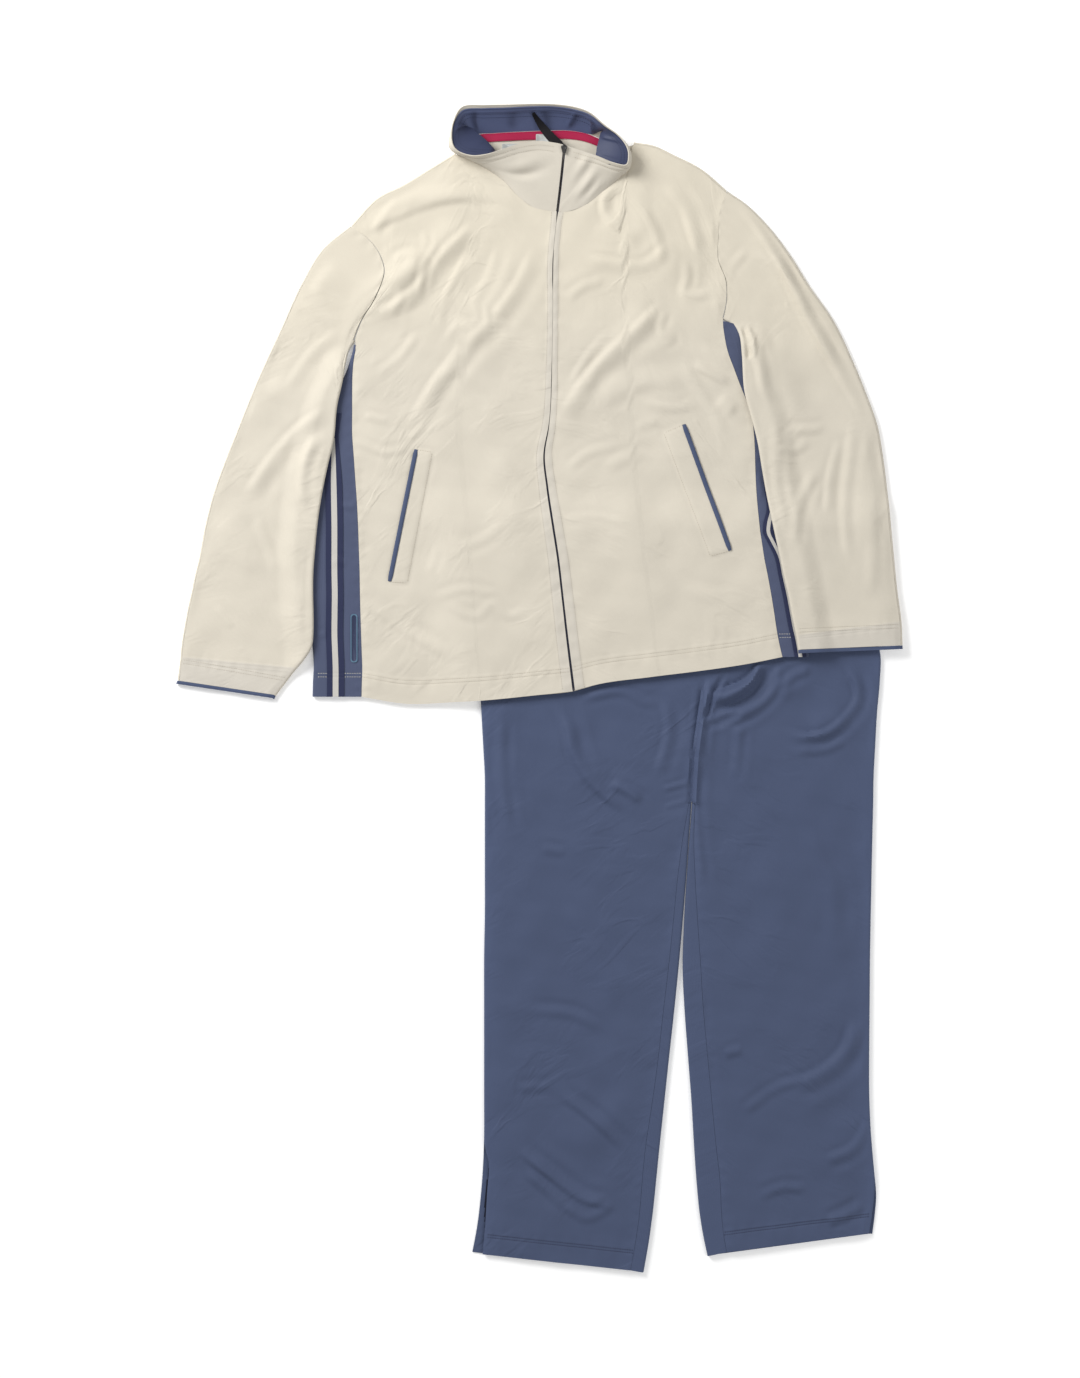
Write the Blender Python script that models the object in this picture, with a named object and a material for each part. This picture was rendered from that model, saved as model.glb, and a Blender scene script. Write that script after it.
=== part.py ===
# A knit tracksuit laid out on a table: the zip jacket lies over the waist of the trousers.
# Tables and sizes are in millimetres, seen from above: x to the right, y towards the collar, z up.
# Left and right in names are the wearer's, so the right sleeve has the smaller x.

import math
from collections import namedtuple

import bmesh
import bpy
import numpy as np
from mathutils import Vector
from mathutils.bvhtree import BVHTree

# Driving sizes
MM = 0.001
CLOTH = 1.2                 # wall of the knit
SEAM = 0.3                  # gap between pieces that are sewn or laid together
LAID_HEIGHT = 6.0           # height of a sleeve, a leg or the body, laid flat
FOLD_RADIUS = LAID_HEIGHT / 2
TAPE_WALL = 1.0             # stripe tape, labels, piping and zip tape
ON_TROUSERS = LAID_HEIGHT + 0.5   # where the jacket lies on the trousers
ON_BODY = LAID_HEIGHT + 2.2       # rise of a sleeve over the body's side and its stripes
TROUSER_RAMP = (14.0, 70.0)       # the jacket falls from the trousers to the table between these
WAIST_DRAPE = 24.0          # the cloth stays up this far past the waistband before it falls
BODY_RAMP = (10.0, 38.0)          # and a sleeve from the body to the table between these
ARMPIT_RISE = 34.0          # length over which a sleeve climbs on to the body
ARMPIT_START = 8.0          # which begins this far above the side panel
ZIP_OPENING = 1.6           # between the two front edges
ZIP_TAPE_WIDTH = 12.0
BINDING_WIDTH = 4.5         # blue edge of the cuffs
WELT_WIDTH = 5.8            # blue piping of the pockets
WAISTBAND_HEIGHT = 36.0
WAISTBAND_WALL = 1.8
NECK_TAPE_WIDTH = 9.0
NECK_TAPE_DROP = 3.0        # from the collar seam to the neck tape
NECK_TAPE_SHARES = (0.17, 0.86)   # where it starts and ends along the back neck
CORNER_GAP = 1.5 * SEAM     # room where three pieces meet
NECK_GAP = 1.6 * SEAM       # from a front to the collar's lower edge
BACK_NECK_GAP = 4 * SEAM    # from the back to the collar, which leans over it
TAPE_INSET = 0.5            # the zip tape's outer edge keeps this far from the front's next row
FOLD_END = 0.3              # share of a fold's length over which it rises
BODY_EDGE = 22.0            # flat margin of the body at its sides
ABOVE_ARMPIT = 260.0        # half the body's width between the armholes, for that margin
SHOULDER_EDGE = 26.0        # and along the shoulders and neck
SLEEVE_EDGE = 20.0          # flat margin along a sleeve's two folds
LEG_MARGIN = 18.0           # flat margin along a leg's edges
HEM_CLEARANCE = (18.0, 30.0)      # the trousers' folds start below the jacket's hem, and grow
SLIT_SHARE = 0.8            # part of a slit's depth by which the front stands back
SLIT_SAG = 2.6              # how far a leg's front sinks at its open slit
SLIT_REACH = 60.0           # and how far into the leg that goes
FLAP_STEP = 1.2             # step of the front's flap at the slit
FLAP_DROP = 0.2
PANEL_BACK_STEP = 0.6       # narrowest run of a side panel's back, and the back's distance from it
BACK_STEP = 1.5
RAY_HEIGHT = 0.2            # above everything, in metres
LAYOUT_CENTRE = (-1.35, -0.75)     # middle of the whole layout's box, in the tables' x and y

# Number of steps in each direction
SHOULDER_STEPS = 6
CURL_STEPS = 2
FOLD_STEPS = 4
COLLAR_STEPS = 4
WELT_STEPS = 11
CORNER_STEPS = 3
FRONT_STEPS = 8
BACK_NECK_STEPS = 10

# Rows of the collar's table that lie on each front, from the shoulder to the zip
COLLAR_ON_RIGHT = (6, 5, 4, 3, 2, 1, 0)
COLLAR_ON_LEFT = (21, 22, 23, 24, 25, 26)

# Armhole places, as shares of the way from the shoulder to the armpit
ARMHOLE_SHARES = (0.0, 0.14, 0.3, 0.46, 0.6, 0.72, 0.82, 0.91, 1.0)

Spot = namedtuple("Spot", "x y")
Section = namedtuple("Section", "outer_x outer_y inner_x inner_y")
SideRow = namedtuple("SideRow", "y seam fold tape_in tape_out")
LegRow = namedtuple("LegRow", "outer_x outer_y inner_x inner_y inseam slit")
CollarRow = namedtuple("CollarRow", "seam_x seam_y seam_z top_x top_y top_z roll")
StrapRow = namedtuple("StrapRow", "x y z width")
SliderRow = namedtuple("SliderRow", "half_width along")
Fold = namedtuple("Fold", "group x0 y0 x1 y1 bend width height")

# Jacket outline. The shoulder lines run from the sleeve to the collar.
SHOULDER_RIGHT = [Spot(-242, 595), Spot(-208, 630), Spot(-176, 646), Spot(-140, 668), Spot(-109, 687)]
SHOULDER_LEFT = [Spot(239, 639), Spot(206, 667), Spot(171, 685), Spot(145, 697), Spot(120, 701)]
BACK_NECK = [Spot(-106, 685), Spot(-97, 701), Spot(-78, 710), Spot(-7, 714), Spot(32, 714.5),
             Spot(62, 708), Spot(92, 692), Spot(105, 688)]
ARMHOLE_RIGHT = [Spot(-242, 592), Spot(-220, 577), Spot(-206, 559), Spot(-199, 538),
                 Spot(-208, 506), Spot(-228, 472), Spot(-237, 449)]
ARMHOLE_LEFT = [Spot(239, 636), Spot(231, 616), Spot(228, 581), Spot(228, 549),
                Spot(237, 525), Spot(238, 498), Spot(234, 477)]
HEM_RIGHT = [Spot(-229, -10), Spot(-170, -19), Spot(-113, -17), Spot(-77, -15), Spot(-5, -8), Spot(42, -3)]
HEM_LEFT = [Spot(310, 41), Spot(265, 32), Spot(211, 24), Spot(139, 15), Spot(74, 6), Spot(44, -2)]
ZIP_LINE = [Spot(22, 611), Spot(17, 561), Spot(16, 480), Spot(15, 422), Spot(11, 337), Spot(5, 300),
            Spot(9, 259), Spot(17, 205), Spot(22, 173), Spot(29, 114), Spot(34, 70), Spot(43, -3)]

# Side panels: x of the front seam and of the side fold, and how far from the seam the stripes lie
SIDE_RIGHT = [
    SideRow(434, -236.6, -240.2, 0.2, 0.4), SideRow(424, -238.6, -243.0, 0.4, 0.8),
    SideRow(405, -240.5, -249.5, 2, 4), SideRow(382, -241, -262, 6, 12),
    SideRow(355, -241, -271, 11, 22), SideRow(326, -241, -279, 14, 30),
    SideRow(298, -239, -286, 15, 35), SideRow(269, -237, -291, 17, 38),
    SideRow(240, -235, -296, 18, 40), SideRow(210, -233.5, -300, 19, 41),
    SideRow(180, -232.5, -302, 20, 42), SideRow(150, -231.5, -301, 21, 43),
    SideRow(120, -231, -299, 21, 43), SideRow(95, -230.3, -297, 22, 44),
    SideRow(70, -229.5, -294, 23, 45), SideRow(48, -228.7, -291.5, 23, 45),
    SideRow(28, -228, -290.5, 23, 45), SideRow(8, -228.5, -291.5, 22.5, 44.5),
    SideRow(-10, -229, -292, 22, 44),
]
SIDE_LEFT = [
    SideRow(464, 234.6, 244.5, 2, 4), SideRow(452, 236.3, 252.5, 4, 8),
    SideRow(434, 240, 257.5, 5, 10), SideRow(412, 248, 267, 6, 12),
    SideRow(388, 257, 272, 4, 8), SideRow(364, 266.5, 279, 3, 6),
    SideRow(340, 272.5, 286, 3.5, 7), SideRow(312, 275, 291.5, 4.5, 9),
    SideRow(284, 275.8, 297, 8, 17), SideRow(256, 277, 304, 11, 23),
    SideRow(228, 279, 309, 11, 26), SideRow(200, 281.8, 314, 13, 28),
    SideRow(172, 286, 320, 19, 30), SideRow(144, 291.5, 326, 21, 31),
    SideRow(118, 296.2, 330, 22, 31), SideRow(94, 300, 335, 22.5, 31.5),
    SideRow(74, 303, 339, 23, 32.5), SideRow(56, 306.5, 342, 23, 32),
    SideRow(41, 310, 344, 22.5, 31),
]
STRIPE_START = 4            # the stripes come out from under the sleeve at this row

# Sleeves, from the armhole to the cuff
SLEEVE_RIGHT = [
    Section(-242, 595, -237.5, 446), Section(-279, 564, -246, 430), Section(-306, 520, -252.5, 395),
    Section(-333, 461, -260, 360), Section(-360, 402, -263.5, 322), Section(-391, 326, -273, 280),
    Section(-406, 288, -279, 250), Section(-419, 251, -284, 218), Section(-430, 208, -288, 178),
    Section(-438, 165, -290.5, 140), Section(-443, 145, -290.5, 118), Section(-447, 125, -290, 99),
    Section(-452, 103, -290, 76), Section(-456, 81, -292, 55), Section(-460, 56, -303, 36),
    Section(-462, 35, -317, 20), Section(-464, 20, -330, 3), Section(-465, 11, -339, -9),
]
SLEEVE_LEFT = [
    Section(239, 639, 234, 474), Section(265, 621, 246, 467), Section(292, 594, 254.5, 455),
    Section(319, 559, 258, 428), Section(346, 516, 261, 383), Section(374, 476, 270, 348),
    Section(403, 416, 279, 311), Section(418, 379, 284, 280), Section(432, 340, 290, 246),
    Section(440, 296, 298, 206), Section(446, 246, 306, 170), Section(450, 204, 311, 145),
    Section(454, 163, 317, 119), Section(458, 124, 322, 92), Section(463, 84, 327, 67),
    Section(464, 56, 329.5, 50),
]
BULGE_FADE = 4              # the armhole's curve dies away over this many sections

# Trouser legs, from the waistband to the hem. Above the crotch the inner end is the centre seam.
# inseam is how far the seam lies on the front, slit how far the front edge stands back.
CROTCH_ROW = 7
CENTRE_SEAM = 205.0         # where both fronts read the folds that cross the centre seam
LEG_RIGHT = [
    LegRow(-86.5, 132, 218.2, 132, 0, 0), LegRow(-82, 88, 216, 88, 0, 0), LegRow(-80, 46, 213.5, 46, 0, 0),
    LegRow(-77.5, 10, 210.5, 10, 0, 0), LegRow(-75.5, -30, 205, -30, 0, 0),
    LegRow(-73, -75, 198.5, -75, 0, 0), LegRow(-71, -115, 195.5, -115, 0, 0),
    LegRow(-71, -147, 194, -147, 1, 0), LegRow(-71, -188, 190.6, -193, 5, 0),
    LegRow(-71, -235, 187.2, -242, 8, 0), LegRow(-71, -285, 183, -294, 9, 0),
    LegRow(-72, -345, 177.6, -356, 10, 0), LegRow(-72, -405, 171.3, -418, 11, 0),
    LegRow(-72, -465, 164.5, -480, 11, 0), LegRow(-72, -525, 157.8, -543, 13, 0),
    LegRow(-72, -570, 152.8, -590, 15, 0), LegRow(-73, -606, 149, -628, 15, 8),
    LegRow(-76, -648, 144.4, -672, 14, 9), LegRow(-81, -690, 138.5, -714, 14, 12),
    LegRow(-87, -722, 132.5, -748, 14, 16),
]
LEG_LEFT = [
    LegRow(405, 132, 218.8, 132, 0, 0), LegRow(421, 88, 216.6, 88, 0, 0), LegRow(436, 46, 214.1, 46, 0, 0),
    LegRow(435.5, 10, 211.1, 10, 0, 0), LegRow(432, -30, 205.6, -30, 0, 0),
    LegRow(429.5, -75, 199.1, -75, 0, 0), LegRow(427.5, -115, 196.1, -115, 0, 0),
    LegRow(427, -147, 194.6, -147, 1, 0), LegRow(426, -188, 192, -193, 3, 0),
    LegRow(425, -235, 189.5, -242, 8, 0), LegRow(424, -285, 185.8, -294, 14, 0),
    LegRow(423, -340, 182.5, -352, 20, 0), LegRow(422.5, -400, 184.8, -408, 21, 0),
    LegRow(422, -460, 189.2, -468, 22, 0), LegRow(422, -520, 193.8, -528, 23, 0),
    LegRow(424, -568, 197, -583, 25, 0), LegRow(428, -615, 200.6, -634, 27, 0),
    LegRow(431, -650, 204.6, -674, 25, 3), LegRow(429, -676, 209.4, -703, 23, 4),
    LegRow(426, -699, 214.5, -727, 22, 5),
]
WAIST = LEG_RIGHT[0].outer_y
WAIST_TOP = WAIST + WAISTBAND_HEIGHT

# Collar, a row for each place round the neck from the right front edge to the left front edge
COLLAR = [
    CollarRow(20.4, 612.4, 6, 29.6, 695.5, 19, 1), CollarRow(8, 613.5, 6, 18, 698, 19, 1),
    CollarRow(-10, 618, 6, -3, 700, 20, 2), CollarRow(-28, 631.5, 6, -27, 696, 22, 2),
    CollarRow(-48, 652, 6, -50, 688, 24, 3), CollarRow(-70, 667, 6, -69, 681.5, 26, 4),
    CollarRow(-90, 678.5, 6, -88, 679.5, 28, 5), CollarRow(-107, 688, 4.5, -106, 686, 29, 6),
    CollarRow(-109.5, 695, 2.5, -113, 700, 29, 6), CollarRow(-99, 704.5, 1, -111, 724, 28, 5),
    CollarRow(-80, 713, 0.3, -99, 743, 27, 5), CollarRow(-60, 714.5, 0.2, -70, 745, 27, 5),
    CollarRow(-38, 715.8, 0.2, -42, 745.5, 27, 5), CollarRow(-10, 717, 0.2, -10, 746.5, 27, 5),
    CollarRow(16, 718, 0.2, 18, 746, 27, 5), CollarRow(38, 717.8, 0.2, 44, 742.5, 27, 5),
    CollarRow(58, 714.5, 0.2, 64, 735, 28, 5), CollarRow(76, 707.5, 0.3, 83, 719, 28, 5),
    CollarRow(94, 698.5, 1.4, 98, 708, 28, 5), CollarRow(107, 691, 3, 109, 695, 28, 5),
    CollarRow(112, 679, 4.5, 113, 682, 28, 5), CollarRow(109, 664, 6, 109.5, 668, 27, 5),
    CollarRow(97, 651, 6, 92, 671.5, 25, 4), CollarRow(80, 637.5, 6, 71, 681, 22, 3),
    CollarRow(58, 620.5, 6, 56, 686.5, 20, 2), CollarRow(36, 612, 6, 43, 691, 19, 1),
    CollarRow(23.6, 611.5, 6, 32.8, 694.5, 19, 1),
]
LINING_SHARE = 0.76         # part of the last step that the lining covers
NECK_MIDDLE = (0.0, 690.0)

# Pocket piping, upper and lower end
WELT_RIGHT = (Spot(-159, 307), Spot(-193, 138))
WELT_LEFT = (Spot(184, 339), Spot(243, 177))

# Labels inside the neck and the patch at the side, as centre, width and length
NECK_LABEL = (Spot(-28, 689.5), 42.0, 20.0)
SIZE_LABEL = (Spot(3, 705.5), 17.0, 12.0)
SIDE_BADGE = (Spot(-238.5, 65), 9.0, 62.0)

# Strap of the zip puller, from the slider over the collar's edge into the neck and up its back
STRAP = [
    StrapRow(31, 689, 13.2, 10), StrapRow(24, 696, 13.4, 14), StrapRow(14, 706, 11.5, 14),
    StrapRow(4, 718, 9.5, 12), StrapRow(-4, 728.5, 13.5, 8), StrapRow(-9, 735.5, 20.5, 5),
]

# Zip slider: half widths and places along it, its middle, and its plate's and crown's heights
SLIDER_HALF = [SliderRow(3.8, 5), SliderRow(3.6, 0.5), SliderRow(2.3, -5)]
SLIDER_MIDDLE = (30.5, 689.5, 18.7)
SLIDER_PLATE = 1.8
SLIDER_CROWN = 1.4
SLIDER_CROWN_INSET = 1.2

# Largest folds of the cloth: a ridge where height is above zero, a trough below
FOLDS = [
    Fold("jacket", -205, 612, -70, 632, 14, 16, 3.5),
    Fold("jacket", -82, 606, -228, 470, -8, 20, 4.5),
    Fold("jacket", -22, 528, -118, 440, 6, 22, 3.5),
    Fold("jacket", -150, 560, -200, 515, 5, 14, 4.0),
    Fold("jacket", 120, 650, 196, 520, -14, 16, 4.5),
    Fold("jacket", 82, 610, 132, 570, 5, 16, 3.0),
    Fold("jacket", 150, 488, 76, 410, 0, 18, 4.0),
    Fold("jacket", 66, 400, 20, 350, 4, 18, 3.0),
    Fold("jacket", 215, 590, 206, 500, 6, 13, -1.6),
    Fold("jacket", -60, 330, -40, 120, 10, 30, 2.5),
    Fold("jacket", 100, 270, 150, 90, -8, 28, 2.5),
    Fold("jacket", 226, 372, 250, 352, 3, 12, 2.5),
    Fold("sleeve_right", -300, 500, -250, 545, 5, 18, 3.0),
    Fold("sleeve_right", -350, 400, -290, 330, 8, 20, 3.5),
    Fold("sleeve_right", -400, 250, -350, 130, -6, 24, 2.5),
    Fold("sleeve_left", 262, 600, 380, 400, 10, 15, 4.5),
    Fold("sleeve_left", 300, 460, 340, 330, -8, 18, 3.5),
    Fold("sleeve_left", 400, 360, 420, 160, 10, 20, 3.0),
    Fold("sleeve_left", 340, 290, 370, 130, -5, 20, 2.5),
    Fold("trousers", 292, 10, 225, -35, -12, 15, 4.5),
    Fold("trousers", 303, -12, 350, 12, 5, 13, 3.0),
    Fold("trousers", 400, -38, 345, -62, -8, 15, 3.0),
    Fold("trousers", 14, -32, 92, -150, 6, 22, 3.0),
    Fold("trousers", 212, 0, 196, -130, 4, 11, 3.5),
    Fold("trousers", 86, -122, 130, -147, 4, 14, 2.5),
    Fold("trousers", 130, -500, 30, -590, 8, 22, 2.5),
    Fold("trousers", 385, -540, 400, -620, 6, 20, 2.5),
    Fold("trousers", 300, -180, 270, -420, 14, 30, 2.5),
    Fold("trousers", -20, -200, 20, -420, -12, 30, 2.0),
]

Paint = namedtuple("Paint", "colour roughness metallic")
CREAM = Paint((0.75, 0.70, 0.60, 1), 0.75, 0.0)
BLUE = Paint((0.075, 0.10, 0.19, 1), 0.7, 0.0)
PANEL_BLUE = Paint((0.10, 0.125, 0.24, 1), 0.7, 0.0)
NAVY = Paint((0.015, 0.02, 0.065, 1), 0.6, 0.0)
PINK = Paint((0.45, 0.006, 0.065, 1), 0.6, 0.0)
LABEL_GREY = Paint((0.55, 0.57, 0.55, 1), 0.8, 0.0)
BLACK = Paint((0.01, 0.009, 0.012, 1), 0.7, 0.0)
METAL = Paint((0.10, 0.10, 0.10, 1), 0.35, 1.0)


def ease(value):
    """Goes smoothly from 0 to 1 as value does."""
    value = np.clip(value, 0.0, 1.0)
    return value * value * (3 - 2 * value)


def fall(distance, ramp):
    """1 up to the first distance of the ramp, 0 past the second."""
    return 1 - ease((distance - ramp[0]) / (ramp[1] - ramp[0]))


def through(knots, values, at):
    """A smooth curve through values at the knots, read at the given places."""
    knots = np.asarray(knots, float)
    values = np.asarray(values, float)
    at = np.clip(np.asarray(at, float), knots[0], knots[-1])
    slopes = np.gradient(values, knots, axis=0)
    low = np.clip(np.searchsorted(knots, at, side="right") - 1, 0, len(knots) - 2)
    span = knots[low + 1] - knots[low]
    share = (at - knots[low]) / span
    extra = (1,) * (values.ndim - 1)
    share = share.reshape(share.shape + extra)
    span = span.reshape(span.shape + extra)
    start = (1 + 2 * share) * (1 - share) ** 2 * values[low]
    end = share ** 2 * (3 - 2 * share) * values[low + 1]
    lean_out = share * (1 - share) ** 2 * span * slopes[low]
    lean_in = share ** 2 * (share - 1) * span * slopes[low + 1]
    return start + end + lean_out + lean_in


def along(spots, shares):
    """Points of the smooth curve through the spots, at shares of its length."""
    spots = np.array([(spot.x, spot.y) for spot in spots], float)
    steps = np.concatenate(([0.0], np.cumsum(np.hypot(*np.diff(spots, axis=0).T))))
    fine = through(steps, spots, np.linspace(0, steps[-1], 400))
    lengths = np.concatenate(([0.0], np.cumsum(np.hypot(*np.diff(fine, axis=0).T))))
    wanted = np.asarray(shares) * lengths[-1]
    return np.stack([np.interp(wanted, lengths, fine[:, axis]) for axis in (0, 1)], axis=1)


def length_of(spots):
    """Length of the smooth curve through the spots."""
    points = along(spots, np.linspace(0, 1, 200))
    return np.hypot(*np.diff(points, axis=0).T).sum()


def sideways(points):
    """Unit vectors square to a plan curve, to the left of its run."""
    runs = np.gradient(points, axis=0)
    runs /= np.hypot(runs[:, 0], runs[:, 1])[:, None]
    return np.stack((-runs[:, 1], runs[:, 0]), axis=1)


def folds(group, x, y):
    """Height that the folds of one group add at plan points."""
    x = np.asarray(x, float)
    y = np.asarray(y, float)
    total = np.zeros_like(x)
    for fold in FOLDS:
        if fold.group != group:
            continue
        run = np.array((fold.x1 - fold.x0, fold.y1 - fold.y0), float)
        size = np.hypot(*run)
        run /= size
        share = ((x - fold.x0) * run[0] + (y - fold.y0) * run[1]) / size
        bow = 4 * fold.bend * share * (1 - share)
        off = (y - fold.y0) * run[0] - (x - fold.x0) * run[1] - bow
        ends = ease(share / FOLD_END) * ease((1 - share) / FOLD_END)
        total += fold.height * ends * np.exp(-(off / fold.width) ** 2)
    return total


def leg_edge(rows, y):
    """x of a leg's outer edge at height y."""
    spots = sorted((row.outer_y, row.outer_x) for row in rows)
    return np.interp(y, [spot[0] for spot in spots], [spot[1] for spot in spots])


def trouser_lift(x, y):
    """Height at which the jacket lies where the trousers are under it."""
    beyond = np.maximum(leg_edge(LEG_RIGHT, y) - x, x - leg_edge(LEG_LEFT, y))
    beyond = np.maximum(beyond, y - WAIST_TOP - WAIST_DRAPE)
    return ON_TROUSERS * fall(beyond, TROUSER_RAMP)


def side_value(rows, column, y):
    """A column of a side panel's table at height y."""
    knots = [row.y for row in rows][::-1]
    values = [getattr(row, column) for row in rows][::-1]
    return np.interp(y, knots, values)


def sleeve_base(rows, sign, x, y):
    """Height of a sleeve's underside: on the table, the trousers or the body's side."""
    beyond = sign * (x - side_value(rows, "fold", y))
    climb = ease((rows[0].y + ARMPIT_START - y) / ARMPIT_RISE)
    return trouser_lift(x, y) + ON_BODY * climb * fall(beyond, BODY_RAMP)


def body_fade(x, y):
    """Folds of the body die out towards its sides and shoulders."""
    right_armpit, left_armpit = ARMHOLE_RIGHT[-1].y, ARMHOLE_LEFT[-1].y
    right = x - np.where(y < right_armpit, side_value(SIDE_RIGHT, "seam", y), -ABOVE_ARMPIT)
    left = np.where(y < left_armpit, side_value(SIDE_LEFT, "seam", y), ABOVE_ARMPIT) - x
    sides = ease(np.minimum(right, left) / BODY_EDGE)
    spots = [(spot.x, spot.y) for spot in SHOULDER_RIGHT + SHOULDER_LEFT]
    spots += [(COLLAR[row].seam_x, COLLAR[row].seam_y) for row in COLLAR_ON_RIGHT + COLLAR_ON_LEFT]
    spots.sort()
    upper_y = np.interp(x, [spot[0] for spot in spots], [spot[1] for spot in spots])
    return sides * ease((upper_y - y) / SHOULDER_EDGE)


def body_top(x, y):
    """Outer height of the jacket's front layer."""
    return trouser_lift(x, y) + LAID_HEIGHT + body_fade(x, y) * folds("jacket", x, y)


def spread(corner_grid, heights, wall):
    """Outer and inner points of a layer from its plan points and its outer heights."""
    outer = np.concatenate((corner_grid, heights[..., None]), axis=-1)
    inner = outer.copy()
    inner[..., 2] -= wall
    return outer, inner


def patch(top, bottom, left, right, across, down):
    """Plan points between four border curves that share their corners."""
    across = across[None, :, None]
    down = down[:, None, None]
    ruled_down = (1 - down) * top[None] + down * bottom[None]
    ruled_across = (1 - across) * left[:, None] + across * right[:, None]
    corners = ((1 - down) * ((1 - across) * top[0] + across * top[-1])
               + down * ((1 - across) * bottom[0] + across * bottom[-1]))
    return ruled_down + ruled_across - corners


def curl(centres, centre_z, outward, angles, radius):
    """Points round a folded edge. An angle of 90 degrees is the top, -90 the underside."""
    angles = np.radians(angles)
    plan = centres[None] + radius * np.cos(angles)[:, None, None] * outward[None]
    height = centre_z[None] + radius * np.sin(angles)[:, None]
    return np.concatenate((plan, height[..., None]), axis=-1)


def clear_scene():
    """Removes whatever the scene holds."""
    for item in list(bpy.data.objects):
        bpy.data.objects.remove(item, do_unlink=True)


def painted(name, paint):
    """A material from a paint."""
    material = bpy.data.materials.new(name)
    material.use_nodes = True
    shader = material.node_tree.nodes["Principled BSDF"]
    shader.inputs["Base Color"].default_value = paint.colour
    shader.inputs["Roughness"].default_value = paint.roughness
    shader.inputs["Metallic"].default_value = paint.metallic
    material.diffuse_color = paint.colour
    return material


def make_object(name, mesh, paint, parent):
    """Puts a mesh in the scene as one named piece, its faces turned outwards."""
    shape = bmesh.new()
    shape.from_mesh(mesh)
    bmesh.ops.recalc_face_normals(shape, faces=shape.faces[:])
    shape.to_mesh(mesh)
    shape.free()
    mesh.materials.append(painted(name, paint))
    piece = bpy.data.objects.new(name, mesh)
    bpy.context.scene.collection.objects.link(piece)
    piece.parent = parent
    return piece


def make_wall(name, outer, inner, paint, parent, present=None, closed=False):
    """A closed wall between two grids of points. Cells that are not present are left out."""
    rows, columns = outer.shape[:2]
    spans = columns if closed else columns - 1
    numbers = {}
    points = []

    def number(row, column, side):
        key = (row, column % columns, side)
        if key not in numbers:
            numbers[key] = len(points)
            points.append((outer, inner)[side][row, column % columns] * MM)
        return numbers[key]

    faces = []
    borders = {}
    for row in range(rows - 1):
        for column in range(spans):
            if present is not None and not present[row, column]:
                continue
            ring = [(row, column), (row + 1, column), (row + 1, column + 1), (row, column + 1)]
            spots = [outer[place[0], place[1] % columns] for place in ring]
            if np.linalg.norm(spots[0] - spots[2]) <= np.linalg.norm(spots[1] - spots[3]):
                halves = ((0, 1, 2), (0, 2, 3))
            else:
                halves = ((1, 2, 3), (1, 3, 0))
            for half in halves:
                faces.append([number(*ring[place], 0) for place in half])
                faces.append([number(*ring[place], 1) for place in reversed(half)])
            for start, end in zip(ring, ring[1:] + ring[:1]):
                start = (start[0], start[1] % columns)
                end = (end[0], end[1] % columns)
                if (end, start) in borders:
                    del borders[(end, start)]
                else:
                    borders[(start, end)] = True
    for start, end in borders:
        corners = [number(*end, 0), number(*start, 0), number(*start, 1), number(*end, 1)]
        faces.append([corners[0], corners[1], corners[2]])
        faces.append([corners[0], corners[2], corners[3]])
    mesh = bpy.data.meshes.new(name)
    mesh.from_pydata([Vector(point) for point in points], [], faces)
    return make_object(name, mesh, paint, parent)


def steps_with_edge(spots, count, edge):
    """Shares of a curve's length: even steps, and a last short one of the given length."""
    last = edge / length_of(spots)
    return np.append(np.linspace(0, 1 - last, count), 1.0)


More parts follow.
